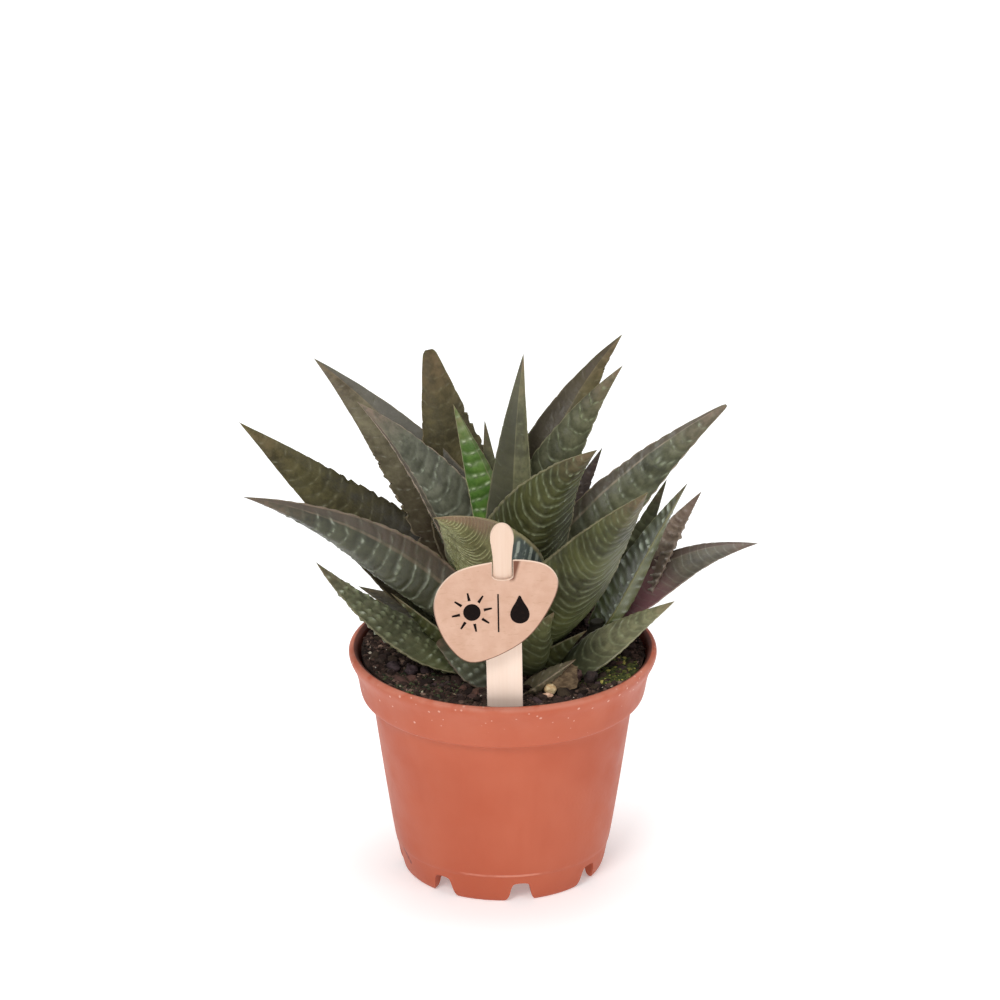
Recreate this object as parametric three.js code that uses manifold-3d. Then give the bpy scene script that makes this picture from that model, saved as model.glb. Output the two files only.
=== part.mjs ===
// Haworthia in a 9 cm plastic nursery pot, with a wooden stick and a card tag.
// Millimetres, Z up, the pot's foot centred on the origin, front towards -Y.
import * as THREE from 'three';
import { mergeVertices } from 'three/addons/utils/BufferGeometryUtils.js';
import Module from 'manifold-3d';

const wasm = await Module();
wasm.setup();
const { Manifold, Mesh } = wasm;

// pot, outlines as [radius, height]
const potSides = 48;
const potFloorBottom = 7.0;
const potFloorTop = 8.6;
const potFoot = [[27.6, potFloorBottom], [28.1, 0], [29.6, 0]];
const potOuterWall = [[30.6, 2.6], [31.7, 7.8], [34.7, 25.8], [36.9, 41.2], [38.1, 49.8], [38.7, 53.8]];
const potCollar = [[39.7, 54.8], [41.4, 55.4], [42.1, 56.5], [42.9, 61.4], [43.9, 64.4]];
const potRim = [[45.1, 67.0], [45.4, 68.6], [45.1, 69.6], [44.4, 70.1], [43.5, 69.9], [42.8, 69.1]];
const potInnerWall = [
  [41.9, 66.0], [41.1, 61.0], [40.6, 58.6], [38.6, 57.2], [37.4, 55.4], [36.4, 48.0], [33.3, 25.8],
  [30.2, 9.4], [28.6, potFloorTop],
];
const notchCount = 8;
const notchOffset = 10;
const notchSide = [[5, -1], [3.4, 1.4], [2.8, 5.2], [2, 6.4]];
const notchDepth = 10;
const notchInnerRadius = 24;
const drainCount = 6;
const drainOffset = 20;
const drainRadius = 3.2;
const drainCircle = 17;

// soil
const soilTop = 66.2;
const soilSides = 24;
const soilDip = 1.1;
const soilFlatRadius = 28;
const soilWallGap = 0.55;
const gap = 0.34;
const finest = 0.02;

// stems
const stemSides = 16;
const mainStem = { x: 2, y: 0, bottom: 52, top: 86, radius: 7.5, topRadius: 2.4 };
const sideStem = { x: 28, y: 6, bottom: 56, top: 75, radius: 4.6, topRadius: 2.0 };

// leaf section and outline
const leafThickness = 0.45;
const leafCup = 0.30;
const leafEdge = 0.35;
const leafBaseWidth = 0.72;
const leafWidest = 0.28;
const outerRidge = 0.75;
const innerRidge = 0.45;
const ridgeStart = 0.10;
const ridgeEnd = 0.93;

// stick: heights run along it from the soil, it leans out over the rim
const stickWidth = 10.4;
const stickThickness = 1.5;
const stickFoot = -7.5;
const stickTop = 61.8;
const stickHeadRadius = 3.5;
const stickPoint = 1.5;
const stickPlace = [0.7, -39.3, soilTop];
const stickLean = 5;
const stickTwist = -1;

// tag: measured from the bottom of its notch, hung on the stick's neck
const tagThickness = 0.8;
const tagTilt = 12;
const tagNotchWidth = 6.2;
const tagHeight = 43.7;

const green = '#46523c';
const olive = '#565440';
const youngGreen = '#4c7a35';
const plum = '#59463f';

function leafSpec(name, root, [azimuth, turn], lift, [length, width], roll, rows, color, blunt = 0) {
  return { name: `leaf_${name}`, root, azimuth, turn, lift, length, width, roll, rows, color, blunt };
}

// name, root point, [azimuth at the root (0 = +X, 90 = back), turn towards the tip],
// [lift at the root, lift at the tip], [length, greatest width], roll, rows along it,
// colour, share of the tip that is missing; from the heart outwards, side shoot last
const leaves = [
  leafSpec('heart_tip', [1, -1, 83], [-75, 0], [86, 74], [40, 9], 0, 8, youngGreen),
  leafSpec('heart_back', [1, 5, 84], [109, 2], [67, 71], [52, 9], -1, 10, green),
  leafSpec('heart_young', [5.5, -1, 84], [133, 0], [65, 58], [62, 15.5], -7, 14, youngGreen),
  leafSpec('heart_upright', [2, 5.6, 83], [66, -1], [94, 71], [75, 15], 4, 18, green),
  leafSpec('inner_left', [-1, 3, 84], [155, 2], [70, 30], [73, 22], -17, 20, green),
  leafSpec('inner_right', [2, -2, 82], [-56, 9], [82, 34], [77, 27], -37, 22, green),
  leafSpec('inner_front', [2, -3, 84], [-118, 3], [72, 14], [71, 29], 15, 20, green),
  leafSpec('tall_right', [3, 3, 80], [28, -2], [85, 41], [82, 21], 29, 22, green),
  leafSpec('tall_cut', [0.4, 6, 80], [124, -2], [53, 66], [79, 26], -15, 20, olive, 0.10),
  leafSpec('tall_back', [3, 5, 79], [49, -4], [86, 29], [92, 23], 18, 22, olive),
  leafSpec('tall_left', [-1, 5, 80.4], [141, 0], [57, 24], [94.5, 25], -33, 24, olive),
  leafSpec('long_right', [6, 3, 77], [25, 0], [54, 27], [89, 22], 24, 24, green, 0.04),
  leafSpec('long_left', [-4, -2, 73], [-165, 4], [55, 17], [94, 24], 44, 24, green),
  leafSpec('long_back_left', [-4, 3, 74], [150, -2], [31, 26], [98, 25], -36, 24, olive),
  leafSpec('broad_front', [7, -4, 73], [-45, -11], [57, 43], [85, 26], -27, 24, green),
  leafSpec('back_right', [6, 7, 74], [58, 0], [50, 34], [61, 13], 0, 16, olive),
  leafSpec('back', [2, 8, 72], [92, 0], [38, 20], [45, 21], 0, 16, olive),
  leafSpec('back_left', [-2, 8, 71], [124, 0], [30, 16], [51, 20], 0, 16, olive),
  leafSpec('low_front', [5, -8, 65], [-60, 1], [65, 42], [33, 18], 3, 12, green),
  leafSpec('low_right_inner', [8, -5, 67], [-30, 0], [42, 30], [24, 15], -6, 10, green),
  leafSpec('low_left_inner', [-6, -1, 67], [-167, 1], [44, 35], [36, 18], 0, 12, green),
  leafSpec('low_left', [-8, -12, 68], [168, -9], [17, 42], [57, 20], -5, 18, green),
  leafSpec('side_inner', [26, 6, 71], [-5, 1], [65, 55], [57, 18], 12, 16, green),
  leafSpec('side_back', [29, 8, 68], [47, -2], [62, 51], [52, 12], 3, 12, green),
  leafSpec('side_banded', [30, 8, 69], [38, 0], [53, 37], [53, 15], 9, 14, plum),
  leafSpec('side_low', [31, 8, 74.5], [17, 2], [45, -2], [52.5, 18], 19, 16, plum),
  leafSpec('low_right', [19, -12, 67], [5, 3], [38, 28], [38, 16], 17, 14, green),
  leafSpec('short_front', [5, -24, 66], [-10, 0], [38, 30], [20, 10], 4, 8, olive),
  leafSpec('short_left', [-2.3, -19, 66.2], [156, 0], [34, 24], [21, 14], -12, 10, green, 0.12),
  leafSpec('low_back_left', [-6, 5, 69], [150, 0], [14, 8], [44, 18], 0, 12, olive),
  leafSpec('low_back_right', [8, 8, 69], [58, 0], [16, 8], [42, 18], 0, 12, olive),
];

const group = new THREE.Group();
group.name = 'potted_haworthia';

function toSolid(positions, triangles) {
  const mesh = new Mesh({
    numProp: 3,
    vertProperties: new Float32Array(positions),
    triVerts: new Uint32Array(triangles),
  });
  return new Manifold(mesh);
}

function geometryToSolid(geometry) {
  const bare = new THREE.BufferGeometry();
  bare.setAttribute('position', geometry.getAttribute('position'));
  if (geometry.index) {
    bare.setIndex(geometry.index);
  }
  const merged = mergeVertices(bare, 1e-4);
  const index = merged.index.array;
  const kept = [];
  for (let i = 0; i < index.length; i += 3) {
    const [a, b, c] = [index[i], index[i + 1], index[i + 2]];
    if (a !== b && b !== c && c !== a) {
      kept.push(a, b, c);
    }
  }
  return toSolid(merged.getAttribute('position').array, kept);
}

// closed body through a stack of rings, each end closed onto its own middle point
function ringsToSolid(rings, first, last) {
  const count = rings[0].length;
  const positions = [];
  const triangles = [];
  for (const ring of rings) {
    for (const p of ring) {
      positions.push(p.x, p.y, p.z);
    }
  }
  const firstIndex = rings.length * count;
  positions.push(first.x, first.y, first.z);
  positions.push(last.x, last.y, last.z);
  for (let i = 0; i + 1 < rings.length; i += 1) {
    for (let j = 0; j < count; j += 1) {
      const a = i * count + j;
      const b = i * count + ((j + 1) % count);
      triangles.push(a, b, b + count);
      triangles.push(a, b + count, a + count);
    }
  }
  const end = (rings.length - 1) * count;
  for (let j = 0; j < count; j += 1) {
    const next = (j + 1) % count;
    triangles.push(firstIndex, next, j);
    triangles.push(firstIndex + 1, end + j, end + next);
  }
  return toSolid(positions, triangles);
}

function addPart(name, solid, slot, color, parent = group) {
  const mesh = solid.getMesh();
  const stride = mesh.numProp;
  const positions = new Float32Array((mesh.vertProperties.length / stride) * 3);
  for (let i = 0; i < positions.length / 3; i += 1) {
    positions[3 * i] = mesh.vertProperties[stride * i];
    positions[3 * i + 1] = mesh.vertProperties[stride * i + 1];
    positions[3 * i + 2] = mesh.vertProperties[stride * i + 2];
  }
  const geometry = new THREE.BufferGeometry();
  geometry.setAttribute('position', new THREE.BufferAttribute(positions, 3));
  geometry.setIndex(Array.from(mesh.triVerts));
  geometry.computeVertexNormals();
  const material = new THREE.MeshStandardMaterial({ color, roughness: 0.6 });
  material.name = slot;
  const part = new THREE.Mesh(geometry, material);
  part.name = name;
  parent.add(part);
}

function largestBody(solid) {
  const bodies = solid.decompose();
  bodies.sort((a, b) => b.volume() - a.volume());
  return bodies[0];
}

function boxSolid(width, depth, height, x, y, z) {
  const box = new THREE.BoxGeometry(width, depth, height);
  box.translate(x, y, z);
  return geometryToSolid(box);
}

// outline of [radius, height] points turned about the Z axis
function turnedSolid(outline, sides) {
  const points = outline.map(([r, z]) => new THREE.Vector2(r, -z));
  const lathe = new THREE.LatheGeometry(points.reverse(), sides);
  lathe.rotateX(-Math.PI / 2);
  return geometryToSolid(lathe);
}

function potSolid() {
  let pot = turnedSolid([
    [0, potFloorBottom], ...potFoot, ...potOuterWall, ...potCollar, ...potRim, ...potInnerWall,
    [0, potFloorTop],
  ], potSides);
  const notchRight = notchSide.map(([x, z]) => new THREE.Vector2(x, z));
  const notchLeft = notchSide.map(([x, z]) => new THREE.Vector2(-x, z)).reverse();
  for (let i = 0; i < notchCount; i += 1) {
    const angle = (i * 360) / notchCount + notchOffset;
    const shape = new THREE.Shape([...notchRight, ...notchLeft]);
    const block = new THREE.ExtrudeGeometry(shape, { depth: notchDepth, bevelEnabled: false });
    block.rotateX(Math.PI / 2);
    block.translate(0, -notchInnerRadius, 0);
    block.rotateZ(THREE.MathUtils.degToRad(angle));
    pot = pot.subtract(geometryToSolid(block));
  }
  for (let i = 0; i < drainCount; i += 1) {
    const angle = THREE.MathUtils.degToRad((i * 360) / drainCount + drainOffset);
    const drill = new THREE.CylinderGeometry(drainRadius, drainRadius, 6, 12);
    drill.rotateX(Math.PI / 2);
    drill.translate(drainCircle * Math.cos(angle), drainCircle * Math.sin(angle), potFloorBottom);
    pot = pot.subtract(geometryToSolid(drill));
  }
  return pot;
}

function stemSolid(stem, grow) {
  const bottom = stem.bottom - grow;
  const top = stem.top + grow;
  const shoulder = stem.bottom + (stem.top - stem.bottom) * 0.6;
  const outline = [
    [0, bottom], [stem.radius * 0.8 + grow, bottom], [stem.radius + grow, soilTop - 3],
    [stem.radius * 0.94 + grow, shoulder], [stem.topRadius + grow, top], [0, top],
  ];
  return turnedSolid(outline, stemSides).translate([stem.x, stem.y, 0]);
}

function soilSolid() {
  const bottom = potFloorTop + gap;
  const top = [8, 20, 29, 34, 38].map((radius) => (
    { radius, z: soilTop, rough: radius > soilFlatRadius ? soilDip : 0 }
  ));
  const wall = potInnerWall.map(([r, z]) => (
    { radius: r - soilWallGap, z: Math.max(bottom, Math.min(soilTop, z)), rough: 0 }
  ));
  const rings = [...top, ...wall];
  const stack = rings.map((ring, k) => {
    const points = [];
    for (let j = 0; j < soilSides; j += 1) {
      const angle = (j / soilSides) * 2 * Math.PI;
      const lump = 0.5 + 0.5 * Math.sin(j * 2.4 + k * 1.9) * Math.cos(j * 1.3 - k * 2.7);
      points.push(new THREE.Vector3(
        ring.radius * Math.cos(angle),
        ring.radius * Math.sin(angle),
        ring.z - ring.rough * lump,
      ));
    }
    return points.reverse();
  });
  const first = new THREE.Vector3(0, 0, soilTop);
  const last = new THREE.Vector3(0, 0, bottom);
  return ringsToSolid(stack, first, last);
}

function halfWidth(leaf, t) {
  const s = leaf.blunt ? t * (1 - leaf.blunt) : t;
  if (s < leafWidest) {
    const grow = Math.sin((Math.PI / 2) * (s / leafWidest));
    return (leaf.width / 2) * (leafBaseWidth + (1 - leafBaseWidth) * grow);
  }
  const fall = (s - leafWidest) / (1 - leafWidest);
  return (leaf.width / 2) * (1 - fall ** 1.45) ** 1.12;
}

// place and directions at each row: along the leaf, to its left, out of its upper face
function leafFrames(leaf, rows) {
  const steps = 240;
  const frames = [];
  const point = new THREE.Vector3(...leaf.root);
  for (let i = 0; i <= steps; i += 1) {
    const t = i / steps;
    const azimuth = THREE.MathUtils.degToRad(leaf.azimuth + leaf.turn * t);
    const lift = THREE.MathUtils.degToRad(leaf.lift[0] + (leaf.lift[1] - leaf.lift[0]) * t);
    const along = new THREE.Vector3(
      Math.cos(lift) * Math.cos(azimuth),
      Math.cos(lift) * Math.sin(azimuth),
      Math.sin(lift),
    );
    if (i === Math.round((frames.length * steps) / rows)) {
      const left = new THREE.Vector3(-Math.sin(azimuth), Math.cos(azimuth), 0);
      const roll = THREE.MathUtils.degToRad(leaf.roll);
      left.applyAxisAngle(along, roll);
      const up = new THREE.Vector3().crossVectors(along, left);
      frames.push({ t, point: point.clone(), along, left, up });
    }
    point.addScaledVector(along, leaf.length / steps);
  }
  return frames;
}

function leafRing(leaf, frame, grow, ridge) {
  const half = halfWidth(leaf, frame.t);
  const cup = leafCup * (1 - 0.5 * frame.t);
  const thick = leafThickness * (0.75 + 0.25 * Math.sin(Math.PI * Math.min(1, frame.t / 0.8)));
  const power = 1.9 - 0.5 * frame.t;
  const ring = [];
  const place = (u, height) => {
    const point = frame.point.clone();
    point.addScaledVector(frame.left, u * (half + 2 * grow));
    point.addScaledVector(frame.up, height);
    ring.push(point);
  };
  const size = Math.min(1, half / 4);
  for (const u of [-1, -0.5, 0, 0.5, 1]) {
    const margin = Math.abs(u) === 1;
    const bar = margin ? 0 : ridge * innerRidge * size;
    place(u, -cup * half * (1 - u * u) + grow * (margin ? 1.6 : 1) + bar);
  }
  for (const u of [0.55, 0, -0.55]) {
    const bar = ridge * outerRidge * size;
    const depth = (cup + thick) * half * (1 - Math.abs(u) ** power) + leafEdge;
    place(u, -depth - grow - bar);
  }
  return ring.reverse();
}

// with room > 0: the leaf's outer envelope, used to keep its neighbours clear of it
function leafSolid(leaf, room) {
  const rows = room > 0 ? Math.max(6, leaf.rows / 2) : leaf.rows;
  const frames = leafFrames(leaf, rows);
  const tip = frames[frames.length - 1];
  frames[0].point.addScaledVector(frames[0].along, -room);
  const sharp = room === 0 && !leaf.blunt;
  const rings = (sharp ? frames.slice(0, -1) : frames).map((frame, i) => {
    const ridged = frame.t > ridgeStart && frame.t < ridgeEnd && i % 2 === 1;
    return leafRing(leaf, frame, room, ridged || room > 0 ? 1 : 0);
  });
  const end = tip.point.clone().addScaledVector(tip.along, leaf.blunt ? 0.6 + room : 2 * room);
  return ringsToSolid(rings, frames[0].point, end);
}

function stickSolid() {
  const half = stickWidth / 2;
  const head = stickTop - stickHeadRadius;
  const side = [
    [half, stickFoot + 4], [half, 33], [half - 0.7, 37], [2.9, 43], [2.65, 49.5], [3.2, 54],
  ];
  const shape = new THREE.Shape();
  shape.moveTo(stickPoint, stickFoot);
  for (const [x, z] of side) {
    shape.lineTo(x, z);
  }
  shape.absarc(0, head, stickHeadRadius, 0, Math.PI, false);
  for (const [x, z] of side.reverse()) {
    shape.lineTo(-x, z);
  }
  shape.lineTo(-stickPoint, stickFoot);
  shape.closePath();
  const slab = new THREE.ExtrudeGeometry(shape, {
    depth: stickThickness,
    bevelEnabled: false,
    curveSegments: 6,
  });
  slab.rotateX(Math.PI / 2);
  slab.translate(0, stickThickness, 0);
  return geometryToSolid(slab);
}

function tagSolid() {
  const outline = [
    [-20.4, -8.3], [-19.2, -2.6], [-14.4, 3.0], [-3.9, 5.6], [6.3, 5.9],
    [13.1, 3.5], [15.5, -0.9], [10.7, -12.6], [4.3, -19.3], [-8.2, -24.6], [-15.6, -19.0],
  ];
  const points = outline.map(([x, z]) => new THREE.Vector3(x, z, 0));
  const curve = new THREE.CatmullRomCurve3(points, true, 'centripetal');
  const loop = curve.getPoints(33).slice(0, -1);
  const shape = new THREE.Shape(loop.map((p) => new THREE.Vector2(p.x, p.y)));
  const card = new THREE.ExtrudeGeometry(shape, { depth: tagThickness, bevelEnabled: false });
  card.rotateX(Math.PI / 2);
  const notch = boxSolid(tagNotchWidth, 10, 12, 0, 0, 6);
  return geometryToSolid(card)
    .subtract(notch)
    .rotate([-tagTilt, 0, 0])
    .translate([0, -gap, tagHeight]);
}

const stems = [mainStem, sideStem];
const stemRoom = Manifold.union(stems.map((stem) => stemSolid(stem, gap)));
const ground = boxSolid(110, 110, 60, 0, 0, soilTop + gap - 30);

const label = new THREE.Group();
label.position.set(...stickPlace);
label.rotation.set(
  THREE.MathUtils.degToRad(stickLean),
  THREE.MathUtils.degToRad(stickTwist),
  0,
);
label.updateMatrix();
group.add(label);
const slot = boxSolid(
  stickWidth + 2 * gap,
  stickThickness + 2 * gap,
  30,
  0,
  stickThickness / 2,
  stickFoot - gap + 15,
);
const stickRoom = slot.transform(label.matrix.toArray());

addPart('pot', potSolid(), 'pot_plastic', '#c96d55');
addPart('soil', largestBody(soilSolid().subtract(stemRoom).subtract(stickRoom)), 'potting_soil', '#3a2b24');
addPart('stem_main', stemSolid(mainStem, 0), 'leaf_base', '#6b6a4c');
addPart('stem_side', stemSolid(sideStem, 0), 'leaf_base', '#6b6a4c');
addPart('stick', stickSolid(), 'pale_wood', '#f0d6bd', label);
addPart('tag', tagSolid(), 'kraft_card', '#e3bea2', label);

const rooms = [];
for (const leaf of leaves) {
  let solid = leafSolid(leaf, 0).subtract(stemRoom).subtract(ground);
  for (const room of rooms) {
    solid = solid.subtract(room);
  }
  addPart(leaf.name, largestBody(solid.asOriginal().simplify(finest)), 'leaf', leaf.color);
  rooms.push(leafSolid(leaf, gap));
}

export default group;
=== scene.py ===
import math

import bmesh
import bpy
from mathutils import Matrix, Vector, noise


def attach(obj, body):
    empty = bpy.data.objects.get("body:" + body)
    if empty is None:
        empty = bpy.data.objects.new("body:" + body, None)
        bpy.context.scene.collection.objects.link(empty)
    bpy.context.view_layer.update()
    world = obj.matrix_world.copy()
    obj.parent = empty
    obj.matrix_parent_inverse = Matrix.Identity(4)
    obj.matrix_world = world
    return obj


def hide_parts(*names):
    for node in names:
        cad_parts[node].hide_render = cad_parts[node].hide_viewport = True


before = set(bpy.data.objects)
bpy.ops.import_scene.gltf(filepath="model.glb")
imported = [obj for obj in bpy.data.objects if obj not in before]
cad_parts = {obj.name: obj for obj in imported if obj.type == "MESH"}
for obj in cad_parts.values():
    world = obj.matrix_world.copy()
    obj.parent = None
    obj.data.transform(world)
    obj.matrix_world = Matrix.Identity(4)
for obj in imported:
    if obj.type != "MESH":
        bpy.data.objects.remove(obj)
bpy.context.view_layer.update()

mm = 0.001
scene = bpy.context.scene
scene.view_settings.view_transform = "Standard"


# small helpers for colours and nodes

def paint(code):
    # "#rrggbb" as seen on screen, to the linear colour that shaders use
    channels = [int(code[i:i + 2], 16) / 255 for i in (1, 3, 5)]
    linear = [c / 12.92 if c <= 0.04045 else ((c + 0.055) / 1.055) ** 2.4 for c in channels]
    return (*linear, 1.0)


class Wires:
    # adds nodes to one tree; a value may be a number or another node's socket
    def __init__(self, tree):
        self.tree = tree

    def put(self, socket, value):
        if isinstance(value, bpy.types.NodeSocket):
            self.tree.links.new(value, socket)
        else:
            socket.default_value = value

    def fill(self, node, values):
        for key, value in values.items():
            self.put(node.inputs[key], value)

    def add(self, kind, values=None, **settings):
        node = self.tree.nodes.new(kind)
        for name, value in settings.items():
            setattr(node, name, value)
        self.fill(node, values or {})
        return node

    def math(self, operation, *values):
        node = self.add("ShaderNodeMath", operation=operation)
        for socket, value in zip(node.inputs, values):
            self.put(socket, value)
        return node.outputs[0]

    def chain(self, operation, values):
        total = values[0]
        for value in values[1:]:
            total = self.math(operation, total, value)
        return total

    def plus(self, *values):
        return self.chain("ADD", values)

    def times(self, *values):
        return self.chain("MULTIPLY", values)

    def minus(self, a, b):
        return self.math("SUBTRACT", a, b)

    def over(self, a, b):
        return self.math("DIVIDE", a, b)

    def power(self, a, b):
        return self.math("POWER", a, b)

    def below(self, a, b):
        return self.math("LESS_THAN", a, b)

    def size(self, value):
        # without its sign
        return self.math("ABSOLUTE", value)

    def clamp(self, value):
        # no less than 0 and no more than 1
        return self.math("MINIMUM", self.math("MAXIMUM", value, 0), 1)

    def blend(self, a, b, share):
        # a where share is 0, b where share is 1
        return self.plus(a, self.times(self.minus(b, a), share))

    def ease(self, value, low, high):
        # 0 at low, 1 at high, smooth in between
        values = {"Value": value, "From Min": low, "From Max": high}
        return self.add("ShaderNodeMapRange", values, interpolation_type="SMOOTHSTEP").outputs["Result"]

    def vector(self, operation, *values):
        node = self.add("ShaderNodeVectorMath", operation=operation)
        sockets = ("Vector", "Scale") if operation == "SCALE" else range(len(values))
        self.fill(node, dict(zip(sockets, values)))
        return node.outputs["Value" if operation in ("LENGTH", "DISTANCE") else "Vector"]

    def stretched(self, vector, x, y, z):
        return self.vector("MULTIPLY", vector, (x, y, z))

    def xyz(self, x, y, z):
        return self.add("ShaderNodeCombineXYZ", {"X": x, "Y": y, "Z": z}).outputs[0]

    def part(self, vector, axis):
        # the vector's share along one axis, "X", "Y" or "Z"
        return self.add("ShaderNodeSeparateXYZ", {"Vector": vector}).outputs[axis]

    def noise(self, place, size, detail=2.0, roughness=0.5, distortion=0.0):
        # size is the width of one blotch in millimetres
        values = {"Vector": place, "Scale": 1 / (size * mm), "Detail": detail, "Roughness": roughness,
                  "Distortion": distortion}
        return self.add("ShaderNodeTexNoise", values).outputs[0]

    def place(self):
        # where a point of the surface lies on its piece
        return self.add("ShaderNodeTexCoord").outputs["Object"]

    def read(self, name, socket="Fac"):
        # an attribute that the piece's shape carries for its colours
        node = self.add("ShaderNodeAttribute", attribute_name=name, attribute_type="GEOMETRY")
        return node.outputs[socket]

    def mix(self, a, b, *shares):
        # colour a where the product of the shares is 0, b where it is 1; each is a code or a socket
        node = self.add("ShaderNodeMix", data_type="RGBA")
        self.put(node.inputs[0], self.times(*shares))
        for number, colour in ((6, a), (7, b)):
            self.put(node.inputs[number], paint(colour) if isinstance(colour, str) else colour)
        return node.outputs[2]


def newMaterial(name):
    # the wires of a new material with one shader
    material = bpy.data.materials.new(name)
    material.use_nodes = True
    material.node_tree.nodes.clear()
    w = Wires(material.node_tree)
    w.material = material
    w.shader = w.add("ShaderNodeBsdfPrincipled")
    w.add("ShaderNodeOutputMaterial", {"Surface": w.shader.outputs[0]})
    return w


def coat(w, colour, roughness, shine, relief, strength, depth):
    # gives the material its colour, how rough and how shiny it is, and a fine relief, depth in millimetres
    bump = w.add("ShaderNodeBump", {"Strength": strength, "Distance": depth * mm, "Height": relief})
    w.fill(w.shader, {"Base Color": colour, "Roughness": roughness, "Specular IOR Level": shine,
                      "Normal": bump.outputs[0]})
    return w.material


def letLightIn(w, reach, depth):
    # light goes in by the depth in millimetres, with these shares of it for red, green and blue
    w.fill(w.shader, {"Subsurface Weight": 0.06, "Subsurface Radius": reach, "Subsurface Scale": depth * mm})


def newGeometryTree(name, sockets):
    # sockets: for each kind the names of its inputs, besides the geometry and the material
    tree = bpy.data.node_groups.new(name, "GeometryNodeTree")
    tree.interface.new_socket("Geometry", in_out="OUTPUT", socket_type="NodeSocketGeometry")
    for kind, names in {"Geometry": "Geometry", **sockets, "Material": "Material"}.items():
        for label in names.split(", "):
            tree.interface.new_socket(label, in_out="INPUT", socket_type="NodeSocket" + kind)
    w = Wires(tree)
    given = w.add("NodeGroupInput").outputs
    made = w.add("NodeGroupOutput").inputs["Geometry"]
    return tree, w, given, made


def endTree(w, geometry, material, made):
    real = w.add("GeometryNodeRealizeInstances", {"Geometry": geometry})
    painted = w.add("GeometryNodeSetMaterial", {"Geometry": real.outputs[0], "Material": material})
    w.put(made, painted.outputs[0])


# small helpers for meshes and pieces

def newObject(name, mesh):
    piece = bpy.data.objects.new(name, mesh)
    scene.collection.objects.link(piece)
    return piece


def meshFrom(name, points, faces=(), edges=()):
    mesh = bpy.data.meshes.new(name)
    mesh.from_pydata([Vector(p) for p in points], list(edges), list(faces))
    mesh.update()
    return mesh


def meshOf(made, name):
    # the mesh that a bmesh holds, which isn't needed any more
    mesh = bpy.data.meshes.new(name)
    made.to_mesh(mesh)
    made.free()
    return mesh


def asPlainMesh(holder, name):
    depsgraph = bpy.context.evaluated_depsgraph_get()
    mesh = bpy.data.meshes.new_from_object(
        holder.evaluated_get(depsgraph), preserve_all_data_layers=True, depsgraph=depsgraph)
    bpy.data.objects.remove(holder)
    mesh.name = name
    return newObject(name, mesh)


def runTree(holder, tree, values, name):
    # gives the holder the tree with these inputs, and returns the result as a plain mesh object
    modifier = holder.modifiers.new("nodes", "NODES")
    modifier.node_group = tree
    for item in tree.interface.items_tree:
        if item.item_type == "SOCKET" and item.in_out == "INPUT" and item.name in values:
            modifier[item.identifier] = values[item.name]
    return asPlainMesh(holder, name)


def smoothBelow(piece, degrees):
    # smooth shading, with a crease where faces meet at more than this angle
    mesh = piece.data
    mesh.shade_smooth()
    mesh.set_sharp_from_angle(angle=math.radians(degrees))


def setMaterial(piece, material):
    piece.data.materials.clear()
    piece.data.materials.append(material)


def dress(piece, slot, *nodes, material=None):
    if material:
        setMaterial(piece, material)
    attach(piece, "root")
    if nodes:
        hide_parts(*nodes)


def standing(place, tilt, turn):
    # tilted about x, turned about z and moved to its place in millimetres
    return (Matrix.Translation(Vector(place) * mm) @ Matrix.Rotation(math.radians(turn), 4, "Z")
            @ Matrix.Rotation(math.radians(tilt), 4, "X"))


def softened(points, times, closed=False):
    # cuts each corner of a line, as many times as given, so that it turns smoothly
    for _ in range(times):
        cut = []
        count = len(points) if closed else len(points) - 1
        for i in range(count):
            a = Vector(points[i])
            b = Vector(points[(i + 1) % len(points)])
            cut += [a.lerp(b, 0.25), a.lerp(b, 0.75)]
        if not closed:
            cut = [Vector(points[0]), *cut[1:-1], Vector(points[-1])]
        points = cut
    return points


# camera, light and floor

view = {
    "tilt": math.radians(22.5),       # looking down
    "distance": 1.8,
    "target": Vector((-0.00082, 0.0, 0.1163)),
    "lens": 221.0,
    "sensor": 36.0,
}
studio = {
    "floorColour": "#f6f6f5",
    "floorSize": 8.0,
    "floorGlow": 0.28,                # a light table's own light
    "skyColour": "#fbfcff",
    "skyPower": 0.46,
    "softboxes": {                    # place, width and watts
        "keyLight": ((-0.55, -1.4, 1.3), 0.7, 16),
        "fillLight": ((1.3, -1.0, 0.8), 0.9, 5),
        "topLight": ((0.0, 0.3, 1.7), 1.0, 14),
    },
    "aim": Vector((0, 0, 0.09)),
}


def setCamera():
    data = bpy.data.cameras.new("camera")
    data.lens = view["lens"]
    data.sensor_width = view["sensor"]
    data.clip_end = 20
    camera = bpy.data.objects.new("camera", data)
    back = Vector((0, -math.cos(view["tilt"]), math.sin(view["tilt"])))
    camera.location = view["target"] + back * view["distance"]
    camera.rotation_euler = (-back).to_track_quat("-Z", "Y").to_euler()
    scene.collection.objects.link(camera)
    scene.camera = camera


def addSoftbox(name, place, width, power):
    data = bpy.data.lights.new(name, "AREA")
    data.shape = "SQUARE"
    data.size = width
    data.energy = power
    light = bpy.data.objects.new(name, data)
    light.location = place
    light.rotation_euler = (studio["aim"] - Vector(place)).to_track_quat("-Z", "Y").to_euler()
    scene.collection.objects.link(light)


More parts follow.
